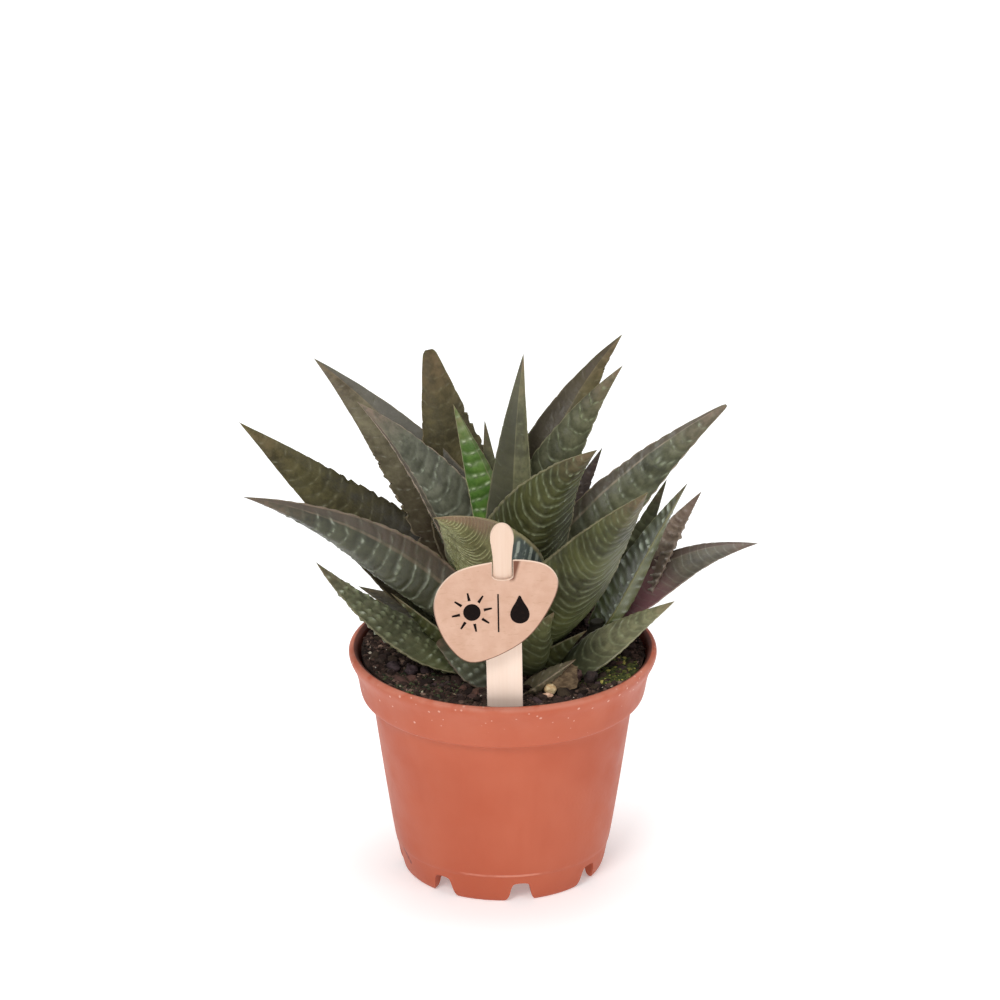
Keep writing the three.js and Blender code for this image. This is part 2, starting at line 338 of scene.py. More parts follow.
def setStudio():
    half = studio["floorSize"] / 2
    corners = [(-half, -half, 0), (half, -half, 0), (half, half, 0), (-half, half, 0)]
    floor = newObject("floor", meshFrom("floor", corners, [(0, 1, 2, 3)]))
    w = newMaterial("paleFloor")
    w.fill(w.shader, {"Base Color": paint(studio["floorColour"]), "Roughness": 0.8,
                      "Specular IOR Level": 0.1, "Emission Color": (1, 1, 1, 1),
                      "Emission Strength": studio["floorGlow"]})
    setMaterial(floor, w.material)
    world = bpy.data.worlds.new("studio")
    world.use_nodes = True
    sky = world.node_tree.nodes["Background"]
    sky.inputs["Color"].default_value = paint(studio["skyColour"])
    sky.inputs["Strength"].default_value = studio["skyPower"]
    scene.world = world
    for name, softbox in studio["softboxes"].items():
        addSoftbox(name, *softbox)


setCamera()
setStudio()
print("camera and studio ready")


# pot

pot = {
    "foot": [(27.6, 6.0), (28.1, 0), (29.6, 0)],      # outlines as (radius, height)
    "wall": [(30.6, 2.6), (31.7, 8.6), (32.1, 9.1), (34.7, 25.8), (36.9, 41.2), (38.1, 49.8),
             (38.7, 53.8)],
    "collar": [(39.7, 54.8), (41.5, 55.3), (42.2, 56.4), (43.0, 61.4), (44.0, 64.6)],
    "rim": [(45.4, 67.2), (45.7, 68.6), (45.3, 69.4), (44.5, 69.8), (43.6, 69.6), (42.9, 68.8)],
    "inside": [(42.3, 66.0), (41.3, 61.0), (40.6, 58.6), (38.6, 57.2), (37.4, 55.4), (36.4, 48.0),
               (33.3, 25.8), (30.2, 9.4), (28.6, 8.6)],
    "floor": (7.0, 8.6),
    "sides": 192,
    "notches": 8,
    "notchTurn": 10,
    "notchSide": [(5.6, -1), (4.3, 0.2), (3.4, 1.6), (2.8, 5.2), (2.0, 6.4)],   # (half width, height)
    "notchReach": (24, 34),           # from the axis outwards
    "drains": 6,
    "drainTurn": 20,
    "drainRadius": 3.2,
    "drainCircle": 17,
    "drainReach": (4, 11),            # heights
    "nick": [(-29.3, -12.6, 8.8), (-28.7, -13.4, 7.9), (-28.1, -14.1, 6.9), (-27.4, -14.9, 5.9)],
    "nickSize": 0.95,
    "nickColour": "#7a2e20",
    "plastic": ("#b1573c", "#b86045"),
    "streaks": "#ad5338",
    "film": "#c37a64",
    "filmHeights": (50, 70),          # where it begins and where it is full
    "dust": "#e6c2b2",
    "dustHeights": (50, 71),
    "dustSize": 2.2,                  # between grains
    "scuffs": "#dc9580",
    "scuffHeights": (9.0, 9.7),
    "scuffReach": (24, 12),           # sideways, where they end and where they are full
    # painted highlight along the lip
    "lipHighlight": "#c98570",
    "lipHeights": (68.0, 69.2),
    # painted shade on the inside of the wall above the soil, where the rim shades it
    "insideShade": "#4e2820",
    "insideShadeFrom": 57.5,
    "wallMiddle": (41.5, 58, 0.25),   # its radius at this height, and how much it grows with the height
}


def turned(name, outline, sides):
    # a closed outline of (radius, height) points that starts and ends on the axis, turned about it
    made = bmesh.new()
    rings = []
    for radius, height in outline:
        if radius < 1e-9:
            rings.append([made.verts.new((0, 0, height))])
            continue
        ring = []
        for k in range(sides):
            angle = 2 * math.pi * k / sides
            ring.append(made.verts.new((radius * math.cos(angle), radius * math.sin(angle), height)))
        rings.append(ring)
    for a, b in zip(rings, rings[1:]):
        for k in range(sides):
            n = (k + 1) % sides
            if len(a) == 1:
                made.faces.new((a[0], b[n], b[k]))
            elif len(b) == 1:
                made.faces.new((a[k], a[n], b[0]))
            else:
                made.faces.new((a[k], a[n], b[n], b[k]))
    bmesh.ops.recalc_face_normals(made, faces=made.faces)
    return meshOf(made, name)


def circle(radius, sides, x=0, y=0):
    angles = [2 * math.pi * k / sides for k in range(sides)]
    return [(x + radius * math.cos(a), y + radius * math.sin(a)) for a in angles]


def addPrism(made, outline, place):
    # closes the outline's two copies, place(x, y, 0) and place(x, y, 1), into a prism
    near = [made.verts.new(place(x, y, 0)) for x, y in outline]
    far = [made.verts.new(place(x, y, 1)) for x, y in outline]
    made.faces.new(near)
    made.faces.new(list(reversed(far)))
    for k in range(len(outline)):
        n = (k + 1) % len(outline)
        made.faces.new((near[n], near[k], far[k], far[n]))


def potCutters():
    # blocks for the notches in the foot and rods for the drain holes in the floor
    made = bmesh.new()
    right = [(x, y, 0) for x, y in pot["notchSide"]]
    left = [(-x, y, 0) for x, y in reversed(pot["notchSide"])]
    outline = [(p.x, p.y) for p in softened(right + left, 2, closed=True)]
    near, far = pot["notchReach"]
    for k in range(pot["notches"]):
        turn = Matrix.Rotation(math.radians(k * 360 / pot["notches"] + pot["notchTurn"]), 3, "Z")
        addPrism(made, outline, lambda x, y, s: turn @ Vector((x, -near - (far - near) * s, y)) * mm)
    low, high = pot["drainReach"]
    for k in range(pot["drains"]):
        angle = math.radians(k * 360 / pot["drains"] + pot["drainTurn"])
        centre = Vector((math.cos(angle), math.sin(angle), 0)) * pot["drainCircle"]
        addPrism(made, circle(pot["drainRadius"], 32),
                 lambda x, y, s: (centre + Vector((x, y, low + (high - low) * s))) * mm)
    bmesh.ops.recalc_face_normals(made, faces=made.faces)
    return newObject("potCutters", meshOf(made, "potCutters"))


def potPlastic():
    w = newMaterial("terracottaPlastic")
    place = w.place()
    height = w.over(w.part(place, "Z"), mm)
    sideways = w.over(w.size(w.part(place, "X")), mm)
    fromAxis = w.over(w.vector("LENGTH", w.stretched(place, 1, 1, 0)), mm)
    streak = w.noise(w.stretched(place, 1, 1, 0.15), 6, 2)
    colour = w.mix(*pot["plastic"], w.ease(w.noise(place, 30, 3), 0.3, 0.7))
    colour = w.mix(colour, pot["streaks"], w.ease(streak, 0.5, 0.8), 0.25)
    # dusty film on the collar and grains of dust, most of them near the rim
    film = w.ease(w.noise(place, 12, 4), 0.35, 0.8)
    colour = w.mix(colour, pot["film"], w.ease(height, *pot["filmHeights"]), film, 0.35)
    grains = w.add("ShaderNodeTexVoronoi", {"Vector": place, "Scale": 1 / (pot["dustSize"] * mm)})
    chance = w.noise(place, 2.1, 0)
    fewest = w.blend(0.72, 0.33, w.ease(height, *pot["dustHeights"]))
    size = w.times(w.ease(chance, fewest, w.plus(fewest, 0.22)), 0.24)
    grain = w.ease(grains.outputs["Distance"], size, w.times(size, 0.5))
    colour = w.mix(colour, pot["dust"], grain, 0.55)
    # scuffs on the step above the foot, in front, and a painted highlight along the lip
    low, high = pot["scuffHeights"]
    scuff = w.times(w.below(low, height), w.below(height, high), w.ease(sideways, *pot["scuffReach"]))
    colour = w.mix(colour, pot["scuffs"], scuff, w.ease(w.noise(place, 10, 3), 0.40, 0.6), 0.6)
    lip = w.ease(height, *pot["lipHeights"])
    colour = w.mix(colour, pot["lipHighlight"], lip, w.ease(w.noise(place, 6, 3), 0.3, 0.6), 0.5)
    for spot in pot["nick"]:
        away = w.vector("DISTANCE", place, Vector(spot) * mm)
        nick = w.ease(away, pot["nickSize"] * mm, 0.5 * pot["nickSize"] * mm)
        colour = w.mix(colour, pot["nickColour"], nick, 0.85)
    # painted shade: the inside of the wall is darkened above the soil, where the rim shades it
    radius, atHeight, growth = pot["wallMiddle"]
    wallMiddle = w.plus(radius, w.times(w.minus(height, atHeight), growth))
    inner = w.ease(fromAxis, wallMiddle, w.minus(wallMiddle, 0.5))
    colour = w.mix(colour, pot["insideShade"], inner, w.below(pot["insideShadeFrom"], height), 0.88)
    letLightIn(w, (1.0, 0.45, 0.25), 2)
    roughness = w.blend(0.42, 0.58, w.ease(w.noise(place, 9, 4), 0.3, 0.8))
    fine = w.plus(w.noise(place, 1.2, 3), w.times(w.noise(place, 20, 1), 2))
    return coat(w, colour, roughness, 0.22, fine, 0.12, 0.4)


def makePot():
    low, high = pot["floor"]
    outline = [(0, low)]
    for part in ("foot", "wall", "collar", "rim", "inside"):
        outline += pot[part]
    outline.append((0, high))
    outline = softened([(r * mm, h * mm, 0) for r, h in outline], 2)
    outline[0].x = outline[-1].x = 0
    body = newObject("potBody", turned("potBody", [(p.x, p.y) for p in outline], pot["sides"]))
    cutters = potCutters()
    cut = body.modifiers.new("notches", "BOOLEAN")
    cut.object = cutters
    cut.operation = "DIFFERENCE"
    cut.solver = "EXACT"
    piece = asPlainMesh(body, "nurseryPot")
    bpy.data.objects.remove(cutters)
    smoothBelow(piece, 40)
    dress(piece, "pot_plastic", "pot", material=potPlastic())


makePot()
print("pot made")


# leaves

leafForm = {
    # lengths in millimetres; thickness, cup and wave are shares of half the leaf's width
    "thickness": 0.45,
    "cup": 0.30,
    "edge": 0.35,
    "rootShare": 0.72,        # width at the root over the greatest width
    "widestAt": 0.28,         # along the leaf
    "taper": (1.45, 1.12),    # powers that shape the way from there to the tip
    "tip": 0.16,              # half the width at the very tip
    "roundedFrom": 0.982,     # where the very end begins to round off
    "wave": 0.05,             # of the margins
    "rowLength": 0.355,
    "faceStep": 0.66,         # between points across each face
    "fewestSides": (14, 18),  # of the inner and of the outer face
    "seam": 0.002,            # points nearer than this are joined
    "keel": (1.9, 0.5),       # power of the outer face's curve at the root, and how much less at the tip
    "ribDrifts": [(9, 1.1), (2.2, 0.28)],     # waviness of the ribs: its size, its share of their spacing
    "ribGaps": 3.5,           # size of the stretches where a rib is missing
    "toothPatches": 6,        # size of the stretches with and without teeth
    "unevenness": 0.22,
    "lumpSize": 11,
    "teethReach": 0.90,       # how far along the leaf the teeth go
    "midribSteps": 80,
}
leafLook = {
    "rootReach": 0.42,        # how far along the leaf the root's colour goes
    "shine": 0.34,
    "glint": "#c3c8bb",       # of the beads near the left margin
}

# spacing of the ribs, half their width, their height and how far they bow; where along the leaf
# they break into beads, spacing of the beads; strength on the outer and on the inner face;
# swelling between ribs; teeth on the margins; all lengths in millimetres
ribStyles = {
    "arcs": (3.7, 0.68, 0.55, 0.90, 0.55, 1.5, 1.0, 1.0, 0.12, 0.30),
    "wideArcs": (5.2, 0.70, 0.42, 0.95, 0.45, 1.7, 1.0, 1.0, 0.10, 0.45),
    "hoops": (5.0, 0.80, 0.55, 0.60, 0.30, 2.0, 0.9, 0.9, 0.14, 0.35),
    "fine": (1.8, 0.40, 0.26, 1.10, 0.80, 1.0, 1.0, 0.8, 0.00, 0.12),
    "low": (3.1, 0.75, 0.36, 0.85, 0.45, 1.8, 0.55, 0.60, 0.12, 0.20),
    "bands": (5.2, 0.95, 0.34, 0.70, 0.25, 2.0, 0.8, 0.8, 0.14, 0.30),
    "bumpy": (3.4, 0.85, 0.60, 0.40, 0.00, 2.0, 1.0, 0.7, 0.08, 0.90),
    "knobbly": (3.2, 1.25, 0.90, 0.25, 0.00, 2.8, 1.0, 1.0, 0.10, 0.60),
    "dashes": (3.6, 0.65, 0.40, 0.20, 0.00, 2.6, 0.9, 1.0, 0.08, 0.15),
    "beads": (3.1, 1.00, 0.80, 0.12, 0.00, 6.0, 0.5, 1.35, 0.05, 0.30),
    "sparse": (3.9, 0.60, 0.34, 0.50, 0.00, 2.4, 0.45, 0.30, 0.05, 1.15),
    "faint": (2.8, 0.45, 0.14, 0.30, 0.90, 1.8, 0.35, 0.35, 0.06, 0.15),
    "plain": (3.6, 0.60, 0.18, 0.50, 0.00, 2.4, 0.4, 0.3, 0.05, 0.12),
    "banded": (2.8, 0.95, 0.80, 0.35, 0.85, 1.8, 1.3, 1.3, 0.05, 0.40),
    "thin": (3.0, 0.60, 0.26, 0.50, 0.80, 1.6, 0.7, 0.7, 0.10, 0.25),
}

# name, root point, (azimuth at the root, turn towards the tip), (lift at the root, lift at the tip),
# (length, greatest width), roll, skin, ribs, missing share of the tip; from the heart outwards
leaves = [
    ("heart_tip", (1, -1, 83), (-75, 0), (86, 74), (40, 9), 0, "young", "dashes", 0),
    ("heart_back", (1, 5, 84), (109, 2), (67, 71), (52, 9), -1, "green", "plain", 0),
    ("heart_young", (5.5, -1, 84), (133, 0), (65, 58), (62, 15.5), -7, "young", "dashes", 0),
    ("heart_upright", (2, 5.6, 83), (66, -1), (94, 71), (75, 15), 4, "pale", "plain", 0),
    ("inner_left", (-1, 3, 84), (155, 2), (70, 30), (73, 22), -17, "ash", "hoops", 0),
    ("inner_right", (2, -2, 82), (-56, 9), (82, 34), (77, 27), -37, "green", "arcs", 0),
    ("inner_front", (2, -3, 84), (-118, 3), (72, 14), (71, 29), 15, "lime", "fine", 0),
    ("tall_right", (3, 3, 80), (28, -2), (85, 41), (82, 21), 29, "green", "wideArcs", 0),
    ("tall_cut", (-0.1, 6, 80), (124, -2), (53, 66), (79.4, 26), -15, "olive", "sparse", 0.085),
    ("tall_back", (3, 5, 79), (49, -4), (86, 29), (92, 23), 18, "olive", "sparse", 0),
    ("tall_left", (-1, 5, 80.4), (141, 0), (57, 24), (95.5, 25), -33, "umber", "sparse", 0),
    ("long_right", (6, 3, 77), (25, 0), (54, 27), (88.5, 22), 24, "sage", "bands", 0.04),
    ("long_left", (-4, -2, 73), (-165, 4), (55, 17), (94, 24), 44, "bronze", "hoops", 0),
    ("long_back_left", (-4, 3, 74), (150, -2), (31, 26), (100, 25), -36, "wornAndShaded", "sparse", 0),
    ("broad_front", (7, -4, 73), (-45, -11), (57, 43), (85, 26), -27, "green", "low", 0),
    ("back_right", (6, 7, 74), (58, 0), (50, 34), (61, 13), 0, "shade", "bumpy", 0),
    ("back", (2, 8, 72), (92, 0), (38, 20), (45, 21), 0, "shade", "low", 0),
    ("back_left", (-2, 8, 71), (124, 0), (30, 16), (51, 20), 0, "olive", "low", 0),
    ("low_front", (5, -8, 65), (-60, 1), (65, 42), (33, 18), 3, "pale", "thin", 0),
    ("low_right_inner", (8, -5, 67), (-30, 0), (42, 30), (24, 15), -6, "green", "thin", 0),
    ("low_left_inner", (-6, -1, 67), (-167, 1), (44, 35), (36, 18), 0, "green", "bumpy", 0),
    ("low_left", (-8, -12, 68), (168, -9), (17, 42), (57, 20), -5, "green", "knobbly", 0),
    ("side_inner", (26, 6, 71), (-5, 1), (65, 55), (57, 18), 12, "fresh", "beads", 0),
    ("side_back", (29, 8, 68), (47, -2), (62, 51), (52, 12), 3, "green", "beads", 0),
    ("side_banded", (30, 8, 69), (38, 0), (53, 37), (53, 15), 9, "plum", "banded", 0),
    ("side_low", (31, 8, 75.2), (17, 2), (45, -4.2), (52.3, 16.2), 19, "dusk", "faint", 0),
    ("low_right", (19, -12, 67), (5, 3), (38, 28), (38, 15.2), 17, "pale", "low", 0),
    ("short_front", (5, -24, 66), (-10, 0), (38, 30), (20, 10), 4, "dry", "bumpy", 0),
    ("short_left", (-2.3, -19, 66.2), (156, 0), (34, 24), (21, 14), -12, "bronze", "knobbly", 0.12),
    ("low_back_left", (-6, 5, 69), (150, 0), (14, 8), (44, 18), 0, "olive", "low", 0),
    ("low_back_right", (8, 8, 69), (58, 0), (16, 8), (42, 18), 0, "olive", "low", 0),
]
# how hollow the upper face is where it isn't as in leafForm; below 0 it bulges
cups = {"low_left": -0.10, "low_right": -0.05, "short_left": -0.10, "heart_upright": 0.70,
        "tall_back": 0.45, "tall_right": 0.38, "inner_left": 0.42, "long_right": 0.40, "heart_young": 0.45}
# single leaves that differ from leafForm in their root, their widest place or the reach of their teeth
rootShares = {"low_left": 0.45}
widestPlaces = {"long_left": 0.44}
teethReaches = {"tall_left": 0.72, "long_back_left": 0.84, "tall_cut": 0.88, "tall_back": 0.98}
# teeth on the left and on the right margin, as shares of the style's
raggedSides = {"tall_left": (1.7, 0.1), "long_back_left": (0.15, 1.0), "tall_cut": (0.4, 1.5),
               "tall_back": (0.1, 1.1)}
# leaves with a strip beyond a line along them in a darker colour, painted shade for a side turned from the
# light and partly the strip's own colour:
# where the line runs, as a share of the way from the middle to the margin (above 0 towards the left one,
# below 0 towards the right one)
folds = {"heart_upright": 0.05, "long_right": 0.66, "side_low": 0.60, "tall_back": 0.15,
         "tall_left": -0.30, "inner_left": 0.66, "long_left": 0.68, "heart_young": -0.70}
noFold = 2.0                        # past the margin
foldedOutside = ("long_left",)      # the others show it on their upper face


def midrib(name, root, azimuth, lift, length):
    # the line that a leaf grows along, as a row of points
    steps = leafForm["midribSteps"]
    point = Vector(root) * mm
    points = [point.copy()]
    for k in range(steps):
        t = (k + 0.5) / steps
        turn = math.radians(azimuth[0] + azimuth[1] * t)
        rise = math.radians(lift[0] + (lift[1] - lift[0]) * t)
        flat = math.cos(rise)
        along = Vector((flat * math.cos(turn), flat * math.sin(turn), math.sin(rise)))
        point = point + along * (length * mm / steps)
        points.append(point)
    edges = [(k, k + 1) for k in range(steps)]
    return newObject(name, meshFrom(name, points, edges=edges))


ribInputs = ("leafPhase", "leafLane", "leafSeed", "leafBroken", "leafRibShare")
firstRib = 20           # number of the rib at the root, so that no number falls below 0


def ribPattern(w, phase, lane, seed, broken, width):
    # ridge: 1 on each rib's line; crest: the same, broken up into the beads that the rib is made of.
    # The leaf's shape and its colours both read it, so that they agree.
    def chanceAt(place):
        return w.add("ShaderNodeTexWhiteNoise", {"Vector": place}).outputs["Value"]

    number = w.math("ROUND", phase)
    chance = chanceAt(w.xyz(number, seed, 3.1))
    off = w.size(w.minus(phase, number))
    ridge = w.ease(off, w.times(width, w.blend(0.8, 1.2, chance)), 0.0)
    across = w.plus(lane, w.times(chance, 5))
    beadNumber = w.math("ROUND", across)
    bead = w.ease(w.size(w.minus(across, beadNumber)), 0.46, 0.05)
    beaded = w.times(bead, w.ease(chanceAt(w.xyz(number, beadNumber, seed)), 0.05, 0.75))
    crest = w.times(ridge, w.blend(w.blend(0.55, 1.0, beaded), beaded, broken))
    return ridge, crest


def leafTree():
    # Lofts a leaf along its midrib: rows along it, points round its section, pointed at both ends,
    # with cross ribs that turn into bumps, and the attributes that the skin's colours follow.
    tree, w, given, made = newGeometryTree("ribbedLeaf", {
        "Int": "Rows, Inner Sides, Outer Sides, Seed",
        "Float": "Length, Width, Missing Tip, Tip, Wave, Roll, Root Share, Widest At, Cup, Thickness, "
                 "Edge, Rib Spacing, Rib Width, Rib Height, Rib Arc, Rib Break, Bead Spacing, "
                 "Outer Ribs, Inner Ribs, Swelling, Left Teeth, Right Teeth, Teeth Reach, Fold, "
                 "Fold Face, Unevenness",
    })

    def keep(name, value, kind="FLOAT"):
        # stores the value on the sheet's points and returns what reads it there
        nonlocal sheet
        values = {"Geometry": sheet, "Name": name, "Value": value}
        node = w.add("GeometryNodeStoreNamedAttribute", values, data_type=kind, domain="POINT")
        sheet = node.outputs["Geometry"]
        return w.add("GeometryNodeInputNamedAttribute", {"Name": name}, data_type=kind).outputs["Attribute"]

    # sheet of points: rows along the leaf, columns round its section, the last column over the first
    rows = given["Rows"]
    inner = given["Inner Sides"]
    outer = given["Outer Sides"]
    lastRow = w.plus(rows, 2)
    lastColumn = w.plus(inner, outer, 2)
    values = {"Size X": 1, "Size Y": 1, "Vertices X": w.plus(lastRow, 1), "Vertices Y": w.plus(lastColumn, 1)}
    sheet = w.add("GeometryNodeMeshGrid", values).outputs["Mesh"]
    place = w.add("GeometryNodeInputPosition").outputs[0]
    row = w.math("ROUND", w.times(w.plus(w.part(place, "X"), 0.5), lastRow))
    column = w.math("ROUND", w.times(w.plus(w.part(place, "Y"), 0.5), lastColumn))
    column = w.math("FLOORED_MODULO", column, lastColumn)
    isInner = w.below(column, w.plus(inner, 0.5))
    innerAcross = w.minus(w.over(w.times(column, 2), inner), 1)
    outerColumn = w.minus(w.minus(column, inner), 1)
    q = w.minus(1, w.over(w.times(outerColumn, 2), outer))
    outerAcross = w.times(q, w.minus(1.25, w.times(q, q, 0.25)))
    isOpen = w.times(w.below(0.5, row), w.below(row, w.plus(rows, 1.5)))
    t = keep("leafAlong", w.clamp(w.over(w.minus(row, 1), rows)))
    u = keep("leafAcross", w.blend(outerAcross, innerAcross, isInner))
    isInner = keep("leafInner", isInner)
    isOpen = keep("leafOpen", isOpen)
    keep("leafFold", given["Fold"])
    keep("leafFoldFace", given["Fold Face"])
    margin = w.size(u)

    # half the width: swelling from the root to the widest place, then tapering to the point
    steepness, bluntness = leafForm["taper"]
    widestAt = given["Widest At"]
    s = w.times(t, w.minus(1, given["Missing Tip"]))
    swell = w.math("SINE", w.times(w.math("MINIMUM", w.over(s, widestAt), 1), math.pi / 2))
    swell = w.blend(given["Root Share"], 1, swell)
    fall = w.clamp(w.over(w.minus(s, widestAt), w.minus(1, widestAt)))
    taper = w.power(w.math("MAXIMUM", w.minus(1, w.power(fall, steepness)), 0), bluntness)
    half = w.times(given["Width"], 0.5, swell, taper)
    half = w.plus(half, w.times(given["Tip"], w.minus(1, w.power(t, 40))))
    last = w.over(w.minus(t, leafForm["roundedFrom"]), 1 - leafForm["roundedFrom"])
    last = w.math("MAXIMUM", last, 0)
    half = w.times(half, w.math("SQRT", w.math("MAXIMUM", w.minus(1, w.times(last, last, 0.6)), 0)))

    # where the ribs and their beads are
    side = w.times(u, half)
    run = w.times(t, given["Length"])
    seed = given["Seed"]
    sheetPlace = w.xyz(side, run, w.plus(seed, w.times(isInner, 0.3)))
    bend = w.times(given["Rib Arc"], half, w.times(u, u))
    phase = w.over(w.minus(run, bend), given["Rib Spacing"])
    for size, share in leafForm["ribDrifts"]:
        phase = w.plus(phase, w.times(w.minus(w.noise(sheetPlace, size, 1), 0.5), share))
    phase = w.plus(phase, firstRib)
    broken = w.ease(t, given["Rib Break"], w.plus(given["Rib Break"], 0.3))
    ribShare = w.over(given["Rib Width"], given["Rib Spacing"])
    ribValues = (phase, w.over(side, given["Bead Spacing"]), seed, broken, ribShare)
    kept = [keep(name, value) for name, value in zip(ribInputs, ribValues)]
    phase = kept[0]
    gaps = w.ease(w.noise(sheetPlace, leafForm["ribGaps"], 1), 0.34, 0.46)
    ends = w.times(w.ease(t, 0.02, 0.10), w.ease(t, 1.0, 0.86), w.ease(margin, 1.0, 0.88))
    strength = w.blend(given["Outer Ribs"], given["Inner Ribs"], isInner)
    keptStrength = keep("leafStrength", w.times(strength, ends, w.blend(gaps, 1, broken)))
    rib = w.times(ribPattern(w, *kept)[1], keptStrength)
    swelling = w.math("COSINE", w.times(phase, 2 * math.pi))
    swelling = w.times(swelling, given["Swelling"], -1, strength, w.ease(t, 1.0, 0.7))

    # section: channelled inner face, rounded outer face that turns into a keel
    cup = w.times(given["Cup"], w.minus(1, w.times(t, 0.5)))
    fat = w.math("SINE", w.times(w.math("MINIMUM", w.over(t, 0.8), 1), math.pi))
    fat = w.times(given["Thickness"], w.plus(0.75, w.times(fat, 0.25)))
    atRoot, less = leafForm["keel"]
    roundness = w.minus(atRoot, w.times(t, less))
    edge = w.times(given["Edge"], w.minus(1, w.power(t, 8)))
    innerHeight = w.times(cup, half, w.minus(w.times(u, u), 1))
    outerHeight = w.times(w.plus(cup, fat), half, w.minus(w.power(margin, roundness), 1))
    outerHeight = w.minus(outerHeight, edge)
    endHeight = w.times(w.plus(cup, w.times(fat, 0.5)), half, -1)
    height = w.blend(endHeight, w.blend(outerHeight, innerHeight, isInner), isOpen)

    # the margins wave and are bitten in between teeth that point to the tip
    sign = w.math("SIGN", u)
    ragged = w.noise(w.xyz(w.times(sign, 0.02), run, seed), 7, 2)
    ragged = w.plus(1, w.times(w.minus(ragged, 0.5), 2, given["Wave"]))
    bite = w.minus(1, w.power(w.math("FRACT", phase), 0.8))
    teeth = w.blend(given["Right Teeth"], given["Left Teeth"], w.below(0, u))
    reached = w.ease(t, given["Teeth Reach"], w.minus(given["Teeth Reach"], 0.2))
    bite = w.times(bite, teeth, w.power(margin, 9), reached, w.ease(t, 0.02, 0.15))
    depth = w.noise(w.xyz(sign, w.over(run, leafForm["toothPatches"] * mm), seed), 1 / mm, 1)
    bite = w.times(bite, w.ease(depth, 0.30, 0.62))
    toothed = w.times(w.minus(w.times(side, ragged), w.times(bite, sign)), isOpen)

    # along the midrib
    line = w.add("GeometryNodeMeshToCurve", {"Mesh": given["Geometry"]}).outputs["Curve"]
    sample = w.add("GeometryNodeSampleCurve", {"Curves": line, "Factor": t}, mode="FACTOR")
    ahead = w.vector("NORMALIZE", sample.outputs["Tangent"])
    flat = w.vector("NORMALIZE", w.vector("CROSS_PRODUCT", (0, 0, 1), ahead))
    values = {"Vector": flat, "Axis": ahead, "Angle": given["Roll"]}
    left = w.add("ShaderNodeVectorRotate", values, rotation_type="AXIS_ANGLE").outputs[0]
    up = w.vector("CROSS_PRODUCT", ahead, left)
    rib = keep("leafRib", rib)
    surface = keep("leafPlace", sheetPlace, "FLOAT_VECTOR")
    target = w.vector("ADD", w.vector("SCALE", left, toothed), w.vector("SCALE", up, height))
    target = w.vector("ADD", target, sample.outputs["Position"])
    sheet = w.add("GeometryNodeSetPosition", {"Geometry": sheet, "Position": target}).outputs[0]
    values = {"Geometry": sheet, "Distance": leafForm["seam"] * mm}
    sheet = w.add("GeometryNodeMergeByDistance", values).outputs[0]

    # ribs and a slight unevenness stand out of the surface
    normal = w.add("GeometryNodeInputNormal").outputs["Normal"]
    lump = w.times(w.minus(w.noise(surface, leafForm["lumpSize"], 1), 0.5), 2, given["Unevenness"])
    lift = w.plus(w.times(rib, given["Rib Height"]), w.times(swelling, isOpen), lump)
    lift = w.times(lift, w.math("MINIMUM", w.over(half, 4 * mm), 1))
    values = {"Geometry": sheet, "Offset": w.vector("SCALE", normal, lift)}
    sheet = w.add("GeometryNodeSetPosition", values).outputs[0]
    smooth = w.add("GeometryNodeSetShadeSmooth")
    w.put(smooth.inputs[0], sheet)
    endTree(w, smooth.outputs[0], given["Material"], made)
    return tree


skins = {
    # outer face (dark, light), inner face (dark, light), ribs, tip, root, margins, fold strip (painted shade
    # and its own colour)
    "green": "2d2d1b 545632 3f402f 6d6d53 939a78 75604d 505432 8c8468 26251c",
    "sage": "343427 5e5f44 3d3e2e 6a6b50 9fa68b 7b6557 3c3a28 b09a86 54473c",
    "ash": "3a3a2e 65664d 46473a 757664 a9af9a 816b5c 403e2f b09a88 5a4d43",
    "bronze": "2a2b1d 4d4e3a 36372a 5d5e4a 969c86 70594a 353326 857260 50443a",
    # painted light: a paler skin that makes up for the shade on leaves turned from the light
    "pale": "404129 6d7048 555440 8b8966 a3aa85 7d6752 414632 96906f 4f4e43",
    "olive": "37301d 5e5835 3d3723 655c3d 8f8a6c 6f5c42 3b3028 78694e 463e34",
    "umber": "37301f 5e5839 433b2a 716a52 9a9580 72624c 403429 80715a 535149",
    # painted shade: a dark skin whose near-black root colour reaches most of the way up the leaf, which lies
    # under the others
    "wornAndShaded": "28250f 545029 2c2916 585234 a09c7e 6a5b42 1f1814 5e5236 352b22",
    "young": "445a24 688040 45682a 6c8c40 d2dcba 8c7a60 76923e a08c78 55603a",
    "fresh": "464a30 6d6f48 363a2b 5f6047 b9c2b2 79654a 60693a 858059 26251c",
    "lime": "5b5b3c 848257 5e5c42 7d795a d6d8a0 8a705a 80843f 9a8d6c 26251c",
    "plum": "625449 968470 65564b 968372 d8cfc2 5f4a42 74474d 8a7868 33241f",
    "dusk": "555646 7b7967 4b473d 6d6655 a0a191 75564f a06a74 8c7767 4e3830",
    # painted shade: a dark skin for leaves that lie in the others' shade
    "shade": "2c2320 473a33 2f2623 4d4038 786c5e 5b4a42 2e2422 665648 26201c",
    "dry": "67614d 8c856a 67604c 8d856b b0a086 8c7060 665c44 a08c76 3a2e26",
}
# what differs from leafLook
rootReaches = {"wornAndShaded": 0.85, "olive": 0.60, "umber": 0.60, "dusk": 0.55}
shines = {"wornAndShaded": 0.08, "olive": 0.22, "umber": 0.22, "green": 0.17, "shade": 0.15}
# skins whose ribs fade before the tip: from where to where
ribsFade = {"plum": (0.42, 0.75), "ash": (0.58, 0.80), "bronze": (0.70, 0.90)}
# skins that lie in another leaf's shade near the root: ground, bars, bars to each rib
shadedRoots = {"lime": ("#4e5853", "#a9b1a5", 0.42)}


